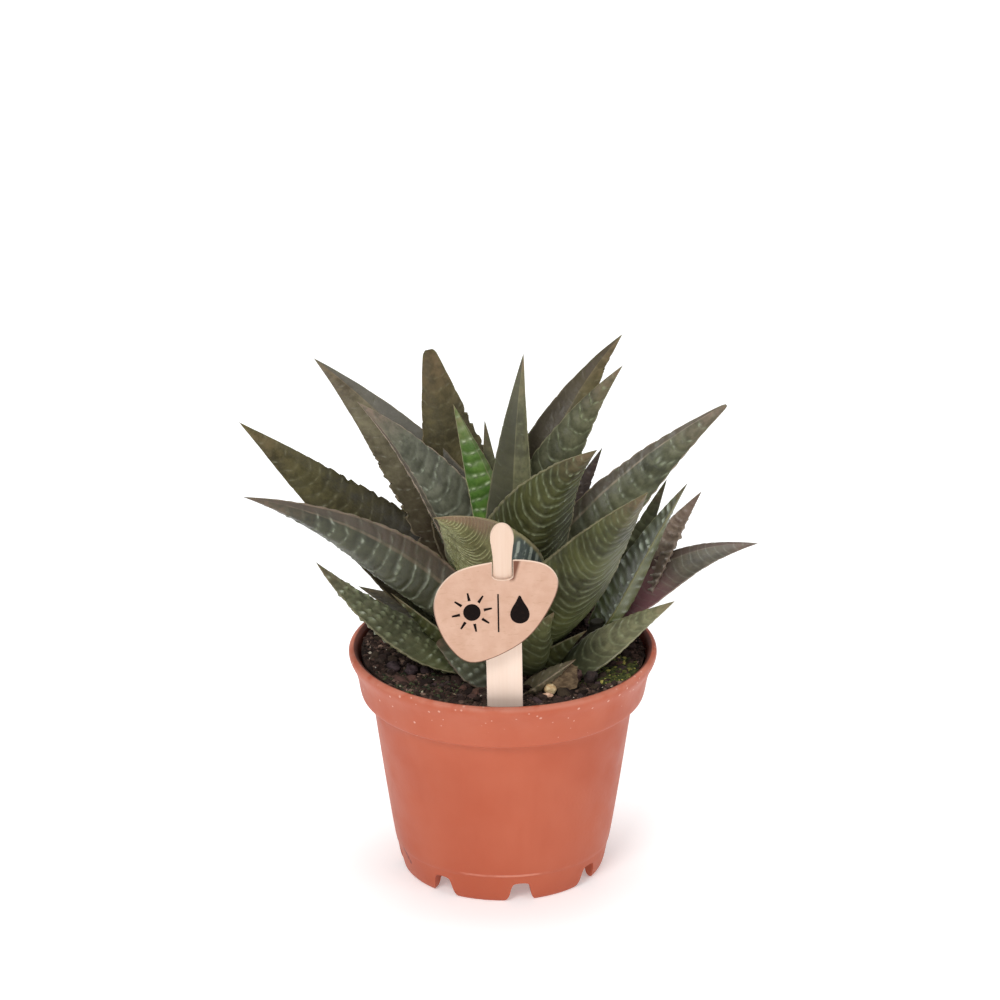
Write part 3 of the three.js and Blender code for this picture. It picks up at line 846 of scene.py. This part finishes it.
def leafSkin(name):
    dark, light, innerDark, innerLight, *others = ["#" + code for code in skins[name].split()]
    ribColour, tipColour, rootColour, marginColour, foldTintAndShade = others
    w = newMaterial(name + "LeafSkin")
    place = w.place()
    surface = w.read("leafPlace", "Vector")
    along = w.read("leafAlong")
    toLeft = w.read("leafAcross")
    isInner = w.read("leafInner")
    strength = w.read("leafStrength")
    if name in ribsFade:
        fadesFrom, fadesTo = ribsFade[name]
        strength = w.times(strength, w.ease(along, fadesTo, fadesFrom))
    phase, lane, seed, broken, width = [w.read(label) for label in ribInputs]
    crest = ribPattern(w, phase, lane, seed, broken, w.times(width, 0.9))[1]
    swell, swellCrest = ribPattern(w, phase, lane, seed, broken, w.times(width, 1.7))

    # both faces, their root and their tip
    blotch = w.ease(w.noise(place, 13, 3), 0.32, 0.68)
    mottle = w.ease(w.noise(place, 3, 4, 0.6), 0.35, 0.70)
    colour = w.mix(dark, light, w.blend(blotch, mottle, 0.35))
    colour = w.mix(colour, w.mix(innerDark, innerLight, w.blend(blotch, mottle, 0.5)), isInner)
    # painted shadow in the hollow on the tip side of each rib
    colour = w.mix(colour, dark, w.ease(w.math("FRACT", phase), 0.5, 0.0), strength, 0.5)
    reach = rootReaches.get(name, leafLook["rootReach"])
    colour = w.mix(colour, rootColour, w.ease(along, reach, 0.3 * reach), 0.75)
    colour = w.mix(colour, tipColour, w.ease(along, 0.72, 1.0), w.blend(0.3, 0.9, mottle))

    # ribs, with a glint on those near the left margin
    colour = w.mix(colour, ribColour, w.blend(swell, swellCrest, 0.5), strength, 0.24)
    colour = w.mix(colour, ribColour, w.power(crest, 1.3), strength, 0.55)
    glint = w.times(w.ease(toLeft, 0.30, 0.60), w.ease(toLeft, 0.92, 0.80))
    glint = w.times(glint, w.ease(w.noise(surface, 5, 1), 0.4, 0.6))
    colour = w.mix(colour, leafLook["glint"], glint, w.power(crest, 2), strength, 0.55)

    if name in shadedRoots:
        ground, barColour, barsPerRib = shadedRoots[name]
        bars = w.size(w.minus(w.math("FRACT", w.times(phase, barsPerRib)), 0.5))
        bars = w.times(w.ease(bars, 0.33, 0.12), w.ease(mottle, 0.0, 0.6))
        colour = w.mix(colour, tipColour, w.ease(toLeft, 0.35, 0.70), w.ease(along, 0.5, 0.7), 0.8)
        inShade = w.times(w.ease(along, 0.66, 0.58), w.ease(toLeft, 0.30, 0.42))
        colour = w.mix(colour, light, inShade, 0.8)
        inShade = w.times(w.ease(along, 0.52, 0.46), inShade, w.ease(toLeft, 1.0, 0.93))
        colour = w.mix(colour, w.mix(ground, barColour, bars), inShade)

    # the strip beyond the line, in painted shade and partly its own colour, a pale line along its crease, and
    # the margins with their wear
    fold = w.read("leafFold")
    fromFold = w.minus(w.times(toLeft, w.math("SIGN", fold)), w.size(fold))
    onFace = w.minus(1, w.size(w.minus(isInner, w.read("leafFoldFace"))))
    colour = w.mix(colour, foldTintAndShade, w.ease(fromFold, 0.0, 0.08), onFace, w.blend(0.55, 0.85, mottle))
    crease = w.times(w.ease(w.size(fromFold), 0.05, 0.01), onFace, 0.6)
    marginLine = w.plus(w.ease(w.size(toLeft), 0.95, 0.985), crease)
    rubbedAndShaded = w.blend(0.35, 1.0, w.ease(w.noise(surface, 4, 2), 0.35, 0.65))
    colour = w.mix(colour, marginColour, marginLine, rubbedAndShaded, 0.75)

    letLightIn(w, (0.6, 1.0, 0.35), 1.2)
    fibres = w.noise(w.stretched(surface, 1, 0.16, 1), 0.6, 2)
    grain = w.noise(place, 1.0, 3, 0.6)
    relief = w.plus(w.times(fibres, 0.5), grain, w.times(crest, strength, 1.2))
    roughness = w.blend(w.blend(0.34, 0.50, mottle), 0.28, w.times(crest, strength))
    return coat(w, colour, roughness, shines.get(name, leafLook["shine"]), relief, 0.35, 0.22)


def makeLeaves():
    tree = leafTree()
    materials = {name: leafSkin(name) for name in skins}
    fewestInner, fewestOuter = leafForm["fewestSides"]
    for number, leaf in enumerate(leaves):
        name, root, azimuth, lift, (length, width), roll, skin, ribs, missing = leaf
        spacing, ribWidth, height, arc, breakAt, beads, outer, inner, swelling, teeth = ribStyles[ribs]
        leftTeeth, rightTeeth = raggedSides.get(name, (1, 1))
        lengths = {
            "Length": length,
            "Width": width,
            "Tip": leafForm["tip"],
            "Edge": leafForm["edge"],
            "Unevenness": leafForm["unevenness"],
            "Rib Spacing": spacing,
            "Rib Width": ribWidth,
            "Rib Height": height,
            "Bead Spacing": beads,
            "Swelling": swelling,
            "Left Teeth": teeth * leftTeeth,
            "Right Teeth": teeth * rightTeeth,
        }
        values = {label: value * mm for label, value in lengths.items()}
        values |= {
            "Rows": round(length / leafForm["rowLength"]),
            "Inner Sides": max(fewestInner, round(0.9 * width / leafForm["faceStep"])),
            "Outer Sides": max(fewestOuter, round(1.1 * width / leafForm["faceStep"])),
            "Missing Tip": float(missing),
            "Wave": leafForm["wave"],
            "Roll": math.radians(roll),
            "Root Share": rootShares.get(name, leafForm["rootShare"]),
            "Widest At": widestPlaces.get(name, leafForm["widestAt"]),
            "Cup": cups.get(name, leafForm["cup"]),
            "Thickness": leafForm["thickness"],
            "Rib Arc": arc,
            "Rib Break": breakAt,
            "Outer Ribs": outer,
            "Inner Ribs": inner,
            "Teeth Reach": teethReaches.get(name, leafForm["teethReach"]),
            "Fold": folds.get(name, noFold),
            "Fold Face": 0.0 if name in foldedOutside else 1.0,
            "Seed": 11 + 7 * number,
            "Material": materials[skin],
        }
        holder = midrib("midrib_" + name, root, azimuth, lift, length)
        piece = runTree(holder, tree, values, "haworthiaLeaf_" + name)
        dress(piece, "leaf", "leaf_" + name)


makeLeaves()
print("leaves made:", len(leaves))


# stems, which show only between the lowest leaves

stemColours = ("#2c281c", "#454030")


def stemSkin():
    w = newMaterial("leafBase")
    rings = w.noise(w.stretched(w.place(), 0.4, 0.4, 2.5), 4, 3)
    colour = w.mix(*stemColours, w.ease(rings, 0.35, 0.65))
    return coat(w, colour, 0.7, 0.5, rings, 0.5, 0.6)


stemMaterial = stemSkin()
for nodeName in ("stem_main", "stem_side"):
    setMaterial(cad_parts[nodeName], stemMaterial)


# soil: a rough bed, crumbs of peat, pale specks, moss, a chip of bark and a few pebbles

soil = {
    "top": 66.2,
    "radius": 41.9,
    "bottom": 8.94,
    "wall": [(40.7, 61.0), (40.0, 58.7), (38.0, 57.3), (36.8, 55.4), (35.8, 48.0), (32.7, 25.8),
             (29.6, 9.6), (28.0, 8.94)],
    "rings": 44,
    "sides": 132,
    "rough": 1.5,             # height of its clods
    "bank": 2.1,              # height of its rise towards the pot
    "lift": 0.2,
    "colours": ("#221813", "#4a362d"),
    "flecks": "#6b5548",
    "dirt": "#1c1411",        # on the crumbs
}


def soilHeight(x, y):
    # height of the bed in millimetres; it is banked up where it meets the pot, less so in front
    coarse = noise.fractal(Vector((x / 11, y / 11, 4.2)), 1.0, 2.1, 3)
    clods = abs(noise.noise(Vector((x / 3.4, y / 3.4, 9.7))))
    fine = noise.noise(Vector((x / 1.5, y / 1.5, 2.2)))
    x = x / soil["radius"]
    y = y / soil["radius"]
    bank = soil["bank"] * math.hypot(x, y) ** 5 * (1 - 0.2 * x) * (1 - 0.7 * max(0, -y) ** 4)
    rough = soil["rough"] * (0.55 * coarse - 0.8 * clods + 0.15 * fine)
    return soil["top"] + bank + rough + soil["lift"]


def soilSkin():
    w = newMaterial("pottingSoil")
    place = w.place()
    colour = w.mix(*soil["colours"], w.ease(w.noise(place, 6, 4), 0.35, 0.65))
    colour = w.mix(colour, soil["flecks"], w.ease(w.noise(place, 1.1, 2), 0.62, 0.72), 0.6)
    return coat(w, colour, 0.92, 0.25, w.noise(place, 1.3, 5, 0.65), 0.8, 0.9)


def makeSoilBed():
    outline = []
    for k in range(soil["rings"] + 1):
        outline.append((soil["radius"] * k / soil["rings"] * mm, soil["top"] * mm))
    outline += [(r * mm, h * mm) for r, h in soil["wall"]]
    outline.append((0, soil["bottom"] * mm))
    mesh = turned("pottingSoil", outline, soil["sides"])
    for vertex in mesh.vertices:
        if vertex.co.z > (soil["top"] - 1) * mm:
            vertex.co.z = soilHeight(vertex.co.x / mm, vertex.co.y / mm) * mm
    piece = newObject("pottingSoil", mesh)
    smoothBelow(piece, 60)
    dress(piece, "potting_soil", "soil", material=soilSkin())
    return piece


widestPatch = 30            # what reaches further covers the whole bed


def crumbTree():
    # rough little lumps strewn over the upward faces of a surface, within reach of a centre
    tree, w, given, made = newGeometryTree("strewnCrumbs", {
        "Vector": "Centre",
        "Float": "Reach, Density, Smallest, Largest, Flatness",
        "Int": "Detail, Seed",
    })
    place = w.add("GeometryNodeInputPosition").outputs[0]
    facing = w.add("GeometryNodeInputNormal").outputs["Normal"]
    upward = w.below(0.35, w.part(facing, "Z"))
    away = w.vector("DISTANCE", w.stretched(place, 1, 1, 0), given["Centre"])
    # a patch has a ragged margin
    ragged = w.times(given["Reach"], w.plus(0.6, w.times(w.noise(place, 5, 2), 0.8)))
    isWide = w.below(widestPatch * mm, given["Reach"])
    within = w.below(away, w.blend(ragged, given["Reach"], isWide))
    values = {"Mesh": given["Geometry"], "Selection": w.times(upward, within),
              "Density": given["Density"], "Seed": given["Seed"]}
    points = w.add("GeometryNodeDistributePointsOnFaces", values)
    values = {"Radius": 0.5, "Subdivisions": given["Detail"]}
    lump = w.add("GeometryNodeMeshIcoSphere", values).outputs["Mesh"]
    knock = w.add("ShaderNodeTexNoise", {"Vector": place, "Scale": 1.6, "Detail": 2.0}).outputs[0]
    knocked = w.vector("SCALE", place, w.plus(0.35, w.times(knock, 1.3)))
    lump = w.add("GeometryNodeSetPosition", {"Geometry": lump, "Position": knocked}).outputs[0]

    def chance(low, high, seed, kind="FLOAT"):
        node = w.add("FunctionNodeRandomValue", data_type=kind)
        firstInput, output = {"FLOAT_VECTOR": (0, 0), "FLOAT": (2, 1)}[kind]
        w.fill(node, {firstInput: low, firstInput + 1: high, "Seed": w.plus(given["Seed"], seed)})
        return node.outputs[output]

    share = w.power(chance(0.0, 1.0, 1), 2.5)
    size = w.blend(given["Smallest"], given["Largest"], share)
    shape = chance((0.6, 0.6, 0.6), (1.3, 1.1, 1.0), 2, "FLOAT_VECTOR")
    shape = w.vector("MULTIPLY", shape, w.xyz(1, 1, given["Flatness"]))
    turn = chance((-0.7, -0.7, 0.0), (0.7, 0.7, 6.28), 3, "FLOAT_VECTOR")
    values = {"Points": points.outputs["Points"], "Instance": lump, "Rotation": turn,
              "Scale": w.vector("SCALE", shape, size)}
    strewn = w.add("GeometryNodeInstanceOnPoints", values).outputs["Instances"]
    values = {"Geometry": strewn, "Name": "crumbTone", "Value": chance(0.0, 1.0, 4)}
    toned = w.add("GeometryNodeStoreNamedAttribute", values, data_type="FLOAT", domain="INSTANCE")
    endTree(w, toned.outputs["Geometry"], given["Material"], made)
    return tree


def crumbSkin(name, tones):
    # each crumb takes one of the tones by its own number
    w = newMaterial(name)
    ramp = w.add("ShaderNodeValToRGB", {"Fac": w.read("crumbTone")})
    stops = ramp.color_ramp.elements
    for stop, (share, code) in zip(stops, (tones[0], tones[-1])):
        stop.position = share
        stop.color = paint(code)
    for share, code in tones[1:-1]:
        stops.new(share).color = paint(code)
    place = w.place()
    dirt = w.ease(w.noise(place, 1.2, 3), 0.4, 0.7)
    colour = w.mix(ramp.outputs["Color"], soil["dirt"], dirt, 0.4)
    return coat(w, colour, 0.9, 0.25, w.noise(place, 0.5, 3), 0.5, 0.2)


crumbs = {
    # centre, reach, crumbs per square metre, smallest and largest, flatness, detail, seed, and
    # tones, each with the share of the crumbs that comes before it
    "peatCrumbs": ((0, 0), 41.0, 1.05e6, 0.5, 2.2, 0.8, 1, 5,
                   [(0.0, "#1d1410"), (0.35, "#392a22"), (0.7, "#533f37"), (0.93, "#6d574b"),
                    (1.0, "#947a6a")]),
    "peatClods": ((0, 0), 39.6, 1.3e5, 2.0, 4.8, 0.7, 2, 12,
                  [(0.0, "#231814"), (0.4, "#3b2b26"), (0.7, "#453a2c"), (0.9, "#47383a"), (1.0, "#60443a")]),
    "paleSpecks": ((0, 0), 40.6, 3.0e4, 0.5, 1.3, 0.9, 1, 23,
                   [(0.0, "#a08a70"), (0.5, "#cdbfa8"), (1.0, "#e8e0d2")]),
    "mossCushion": ((27.5, -10.0), 11.5, 7.5e6, 0.85, 2.1, 1.0, 1, 31,
                    [(0.0, "#2a3019"), (0.5, "#464d26"), (0.88, "#646632"), (1.0, "#c0b460")]),
    "greenFilm": ((-24, -21), 13.0, 6.0e5, 0.6, 1.8, 0.8, 1, 47,
                  [(0.0, "#2c3024"), (0.6, "#434a32"), (1.0, "#5d6440")]),
}

# name, centre, size across, depth and height, tilt about x and turn about z, knocks, colours (dark, light)
stones = [
    ("palePebble", (13.9, -28.0, 68.1), (3.3, 2.6, 3.0), (-20, 30), 0.55, ("#cfa877", "#f3dcae")),
    ("pinkPebble", (13.0, -31.6, 67.8), (3.2, 2.0, 1.5), (0, -12), 0.35, ("#b98a70", "#e6bfa2")),
    ("darkClod", (25.8, -20.5, 68.6), (4.6, 3.8, 3.6), (15, 40), 0.8, ("#1e1715", "#3b2e2b")),
    ("plumClod", (22.2, -19.5, 68.6), (2.4, 3.0, 4.6), (10, -20), 0.7, ("#4d3634", "#7c5f58")),
    ("brownClod", (-32.0, -12.5, 68.3), (4.4, 3.6, 3.4), (0, 70), 0.8, ("#2c2122", "#4a3a3c")),
    ("duskClod", (-27.0, -14.0, 68.0), (4.2, 4.0, 3.0), (0, 10), 0.8, ("#2f2426", "#4e3d40")),
]
barkChip = {
    "outline": [(-3.9, -1.6), (-2.3, -3.2), (-0.4, -3.9), (3.5, -2.9), (3.7, -0.3), (4.1, 2.9),
                (1.8, 4.6), (0.7, 3.9), (-1.7, 1.0)],
    "thickness": 1.9,
    "place": (17.8, -25.4, 70.6),
    "lean": -24,
    "turn": 8,
    "knocks": 0.35,
    "colours": ("#513f2c", "#7d684d"),
}
noiseSeed = 1795888514      # noise_vector is shifted by the clock where it has no seed


def knocked(mesh, size, amount, seed):
    # moves every point by smooth noise, all lengths in millimetres
    noise.seed_set(noiseSeed)
    for vertex in mesh.vertices:
        vertex.co += noise.noise_vector(vertex.co / (size * mm) + Vector((seed, 0, 0))) * (amount * mm)
    mesh.update()


def stoneSkin(name, dark, light):
    w = newMaterial(name)
    place = w.place()
    layers = w.noise(w.stretched(place, 1, 1, 2.2), 1.8, 4, 0.6)
    colour = w.mix(dark, light, w.ease(layers, 0.32, 0.66))
    return coat(w, colour, 0.7, 0.3, w.noise(place, 0.6, 4, 0.6), 0.5, 0.3)


def makeStones():
    for seed, (name, place, size, (tilt, turn), knocks, colours) in enumerate(stones):
        made = bmesh.new()
        bmesh.ops.create_icosphere(made, subdivisions=4, radius=0.5)
        mesh = meshOf(made, name)
        mesh.transform(Matrix.Diagonal(Vector((*size, 1)) * mm))
        knocked(mesh, 1.6, knocks, 5 * seed)
        knocked(mesh, 0.6, 0.15 * knocks, 5 * seed + 2)
        mesh.transform(standing(place, tilt, turn))
        piece = newObject(name, mesh)
        smoothBelow(piece, 50)
        dress(piece, "potting_soil", material=stoneSkin(name, *colours))


def makeBarkChip():
    made = bmesh.new()
    half = barkChip["thickness"] / 2
    addPrism(made, barkChip["outline"], lambda x, z, s: Vector((x, half - 2 * half * s, z)) * mm)
    bmesh.ops.triangulate(made, faces=made.faces)
    bmesh.ops.subdivide_edges(made, edges=made.edges, cuts=5, use_grid_fill=True)
    bmesh.ops.recalc_face_normals(made, faces=made.faces)
    mesh = meshOf(made, "barkChip")
    knocked(mesh, 2.2, barkChip["knocks"] * 1.6, 3)
    knocked(mesh, 0.7, barkChip["knocks"] * 0.5, 8)
    mesh.transform(standing(barkChip["place"], barkChip["lean"], barkChip["turn"]))
    piece = newObject("barkChip", mesh)
    smoothBelow(piece, 40)
    dress(piece, "potting_soil", material=stoneSkin("pineBark", *barkChip["colours"]))


def makeCrumbs(bed):
    tree = crumbTree()
    for name, (centre, reach, density, smallest, largest, flatness, detail, seed, tones) in crumbs.items():
        values = {
            "Centre": (centre[0] * mm, centre[1] * mm, 0.0),
            "Reach": reach * mm,
            "Density": density,
            "Smallest": smallest * mm,
            "Largest": largest * mm,
            "Flatness": flatness,
            "Detail": detail,
            "Seed": seed,
            "Material": crumbSkin(name, tones),
        }
        holder = newObject(name + "Bed", bed.data.copy())
        dress(runTree(holder, tree, values, name), "potting_soil")


soilBed = makeSoilBed()
makeCrumbs(soilBed)
makeStones()
makeBarkChip()
print("soil made")


# stick and tag, placed together: they lean out over the rim

label = {
    "place": (0.7, -39.3, 66.2),
    "lean": 5,
    "twist": -1,
    "stickThickness": 1.5,
    "stickFoot": -7.5,
    "stickTop": 61.2,
    "headRadius": 3.4,
    "headHeight": 4.6,
    "headSteps": 24,
    "stickPoint": 1.5,        # half the width of its foot
    "side": [(5.2, -3.5), (5.2, 33), (4.5, 37), (2.9, 43), (2.65, 49.5), (3.0, 53), (3.35, 55.5)],
    "tagThickness": 0.8,
    "tagTilt": 12,
    "tagGap": 0.34,
    "tagHeight": 43.7,
    "notchWidth": 5.8,
    "tagOutline": [(-20.0, -9.0), (-18.7, -2.9), (-13.8, 2.3), (-3.9, 5.1), (6.3, 5.8), (13.4, 3.7),
                   (16.0, -1.1), (11.3, -12.2), (4.0, -19.8), (-9.8, -24.7), (-16.3, -19.2)],
    "slotDepth": 1.2,         # of its rounded bottom
    "stickBevel": 0.28,
    "tagBevel": 0.34,
    "wood": ("#e3c6b0", "#e9d0bd"),
    "woodStreaks": "#dfc1a8",
    # painted shade at the top of the stick and painted light at its foot
    "paintedTopShade": "#d6b9a4",
    "topShadeHeights": (40, 48),
    "paintedFootLight": "#f8e2d2",
    "footLightHeights": (30, 18),
    "card": ("#c79f88", "#d0aa94"),
    "cardFibres": "#b08a6c",
    # painted shadow of the stick on the card
    "stickShadow": "#6a3d2b",
    # painted shade and painted highlight of the cut edge
    "cutCard": ("#5f3a2a", "#e4c9b4"),      # facing down, facing up
}
careSigns = {
    "raised": 0.06,
    "sunk": 0.02,
    "sunPlace": (-9.0, -9.6),
    "sunRadius": 2.5,
    "rays": 8,
    "rayTurn": 0.2,
    "ray": [(3.5, 0.42), (5.9, 0.24)],      # its ends: distance from the centre, half width
    "dropPlace": (4.8, -9.8),
    "drop": [(0, 5.6), (1.0, 3.3), (2.5, 1.0), (2.9, -0.9), (2.1, -2.7), (0, -3.5)],      # its right side
    "line": [(-1.4, -15.6), (-1.4, -4.2)],
    "lineWidth": 0.45,
    "ink": "#120806",
    "wornInk": "#3a241c",
}
leaning = (Matrix.Translation(Vector(label["place"]) * mm)
           @ Matrix.Rotation(math.radians(label["lean"]), 4, "X")
           @ Matrix.Rotation(math.radians(label["twist"]), 4, "Y"))
tilted = (leaning @ Matrix.Translation(Vector((0, -label["tagGap"], label["tagHeight"])) * mm)
          @ Matrix.Rotation(math.radians(-label["tagTilt"]), 4, "X"))


def slabMesh(name, outlines, front, back, matrix):
    # flat outlines in x and z, with their front and back in y, as closed slabs that the matrix moves
    made = bmesh.new()
    for outline in outlines:
        addPrism(made, outline, lambda x, z, s: Vector((x, front + (back - front) * s, z)) * mm)
    bmesh.ops.recalc_face_normals(made, faces=made.faces)
    mesh = meshOf(made, name)
    mesh.transform(matrix)
    return mesh


def roundedSlab(name, outline, thickness, matrix, bevel):
    # one slab with its edges rounded a little
    holder = newObject(name + "Slab", slabMesh(name, [outline], 0, thickness, matrix))
    rounding = holder.modifiers.new("edges", "BEVEL")
    rounding.width = bevel * mm
    rounding.segments = 3
    rounding.limit_method = "ANGLE"
    rounding.angle_limit = math.radians(50)
    piece = asPlainMesh(holder, name)
    smoothBelow(piece, 35)
    return piece


def smoothLoop(points, steps):
    # a closed curve through the points, turning evenly whatever their spacing
    count = len(points)
    loop = []
    for k in range(count):
        p = [Vector((*points[(k + i - 1) % count], 0)) for i in range(4)]
        gaps = [(b - a).length ** 0.5 for a, b in zip(p, p[1:])]
        t0, t1, t2, t3 = 0, gaps[0], gaps[0] + gaps[1], sum(gaps)
        for i in range(steps):
            t = t1 + (t2 - t1) * i / steps
            a1 = p[0].lerp(p[1], t / t1)
            a2 = p[1].lerp(p[2], (t - t1) / (t2 - t1))
            a3 = p[2].lerp(p[3], (t - t2) / (t3 - t2))
            b1 = a1.lerp(a2, t / t2)
            b2 = a2.lerp(a3, (t - t1) / (t3 - t1))
            c = b1.lerp(b2, (t - t1) / (t2 - t1))
            loop.append((c.x, c.y))
    return loop


def placeOf(w, matrix):
    # the object's coordinates turned back to the label's own, x across and z up it
    back = matrix.inverted()
    values = {"Vector": w.place(), "Location": back.translation, "Rotation": back.to_euler()}
    return w.add("ShaderNodeMapping", values, vector_type="POINT").outputs[0]


def birchWood():
    w = newMaterial("birchWood")
    place = placeOf(w, leaning)
    height = w.over(w.part(place, "Z"), mm)
    grain = w.noise(w.stretched(place, 1, 1, 0.035), 1.1, 4, 0.6, 0.4)
    wide = w.noise(w.stretched(place, 1, 1, 0.05), 5, 2)
    colour = w.mix(*label["wood"], w.ease(grain, 0.3, 0.7))
    colour = w.mix(colour, label["woodStreaks"], w.ease(wide, 0.5, 0.75), 0.30)
    # painted shade: a little darker at the top, which stands high in the light; painted light: paler at the
    # foot, which the tag shades
    colour = w.mix(colour, label["paintedTopShade"], w.ease(height, *label["topShadeHeights"]), 0.45)
    colour = w.mix(colour, label["paintedFootLight"], w.ease(height, *label["footLightHeights"]), 0.50)
    return coat(w, colour, 0.62, 0.35, grain, 0.25, 0.18)


def kraftCard():
    w = newMaterial("kraftCard")
    place = placeOf(w, tilted)
    x, y, z = [w.over(w.part(place, axis), mm) for axis in "XYZ"]
    cloud = w.noise(place, 5, 4, 0.6)
    fibre = w.noise(w.stretched(place, 0.25, 1, 1), 0.6, 3, 0.6)
    colour = w.mix(*label["card"], w.ease(cloud, 0.3, 0.7))
    colour = w.mix(colour, label["cardFibres"], w.ease(fibre, 0.58, 0.72), 0.35)
    # painted shadow of the stick on the card, to the right of the stick, by its slot
    bend = w.plus(4.0, w.times(z, 0.30))
    rubbedAndShaded = w.times(w.ease(x, bend, w.minus(bend, 1.1)), w.below(2, x), w.ease(z, -1.0, 0.6))
    colour = w.mix(colour, label["stickShadow"], rubbedAndShaded, 0.92)
    # painted shade and light on the cut edge: darker where it faces down, paler where it faces up
    half = label["tagThickness"] / 2
    atCut = w.ease(w.size(w.plus(y, half)), half, 0.96 * half)
    facing = w.part(w.add("ShaderNodeNewGeometry").outputs["Normal"], "Z")
    colour = w.mix(colour, w.mix(*label["cutCard"], w.ease(facing, -0.2, 0.5)), atCut, 0.85)
    return coat(w, colour, 0.75, 0.25, w.plus(cloud, fibre), 0.3, 0.2)


def stickOutline():
    side = softened([(x, z, 0) for x, z in label["side"]], 2)
    right = [(p.x, p.y) for p in side]
    centre = label["stickTop"] - label["headHeight"]
    head = []
    for k in range(label["headSteps"] + 1):
        angle = math.pi * k / label["headSteps"]
        head.append((label["headRadius"] * math.cos(angle), centre + label["headHeight"] * math.sin(angle)))
    left = [(-x, z) for x, z in reversed(right)]
    foot = (label["stickPoint"], label["stickFoot"])
    return [foot, *right, *head, *left, (-foot[0], foot[1])]


def tagOutline():
    # the loop, with the slot for the stick's neck let in from its upper edge
    loop = smoothLoop(label["tagOutline"], 8)
    half = label["notchWidth"] / 2
    above = [i for i, (x, z) in enumerate(loop) if z > 0 and abs(x) < half]
    before = loop[:above[0]]
    after = loop[above[-1] + 1:]
    edgeLeft = loop[above[0]][1]
    edgeRight = loop[above[-1]][1]
    angles = [math.radians(degrees) for degrees in range(-90, 91, 15)]
    dip = [(half * math.sin(a), label["slotDepth"] * (1 - math.cos(a))) for a in angles]
    return [*before, (-half, edgeLeft), *dip, (half, edgeRight), *after]


def careSignOutlines():
    # a sun with its rays, a drop of water and a line between them
    x0, z0 = careSigns["sunPlace"]
    shapes = [circle(careSigns["sunRadius"], 40, x0, z0)]
    (near, nearWidth), (far, farWidth) = careSigns["ray"]
    corners = [(near, -nearWidth), (far, -farWidth), (far, farWidth), (near, nearWidth)]
    for k in range(careSigns["rays"]):
        turn = Matrix.Rotation(2 * math.pi * k / careSigns["rays"] + careSigns["rayTurn"], 2)
        shapes.append([tuple(turn @ Vector(corner) + Vector((x0, z0))) for corner in corners])
    right = [Vector((x, z, 0)) for x, z in careSigns["drop"]]
    left = [Vector((-p.x, p.y, 0)) for p in reversed(right[1:-1])]
    x0, z0 = careSigns["dropPlace"]
    shapes.append([(p.x + x0, p.y + z0) for p in softened([*right, *left], 2, closed=True)])
    (x1, z1), (x2, z2) = careSigns["line"]
    half = careSigns["lineWidth"] / 2
    shapes.append([(x1 - half, z1), (x1 + half, z1), (x2 + half, z2), (x2 - half, z2)])
    return shapes


def printInk():
    w = newMaterial("printInk")
    wornAndShaded = w.ease(w.noise(placeOf(w, tilted), 0.8, 3), 0.55, 0.8)
    colour = w.mix(careSigns["ink"], careSigns["wornInk"], wornAndShaded, 0.5)
    return coat(w, colour, 0.8, 0.12, wornAndShaded, 0.2, 0.1)


def makeLabel():
    outline = stickOutline()
    stick = roundedSlab("woodenStick", outline, label["stickThickness"], leaning, label["stickBevel"])
    dress(stick, "pale_wood", "stick", material=birchWood())
    tag = roundedSlab("cardTag", tagOutline(), -label["tagThickness"], tilted, label["tagBevel"])
    dress(tag, "kraft_card", "tag", material=kraftCard())
    front = -label["tagThickness"]
    signs = slabMesh("careSigns", careSignOutlines(), front + careSigns["sunk"],
                     front - careSigns["raised"], tilted)
    dress(newObject("careSigns", signs), "kraft_card", material=printInk())


makeLabel()
print("stick and tag made")
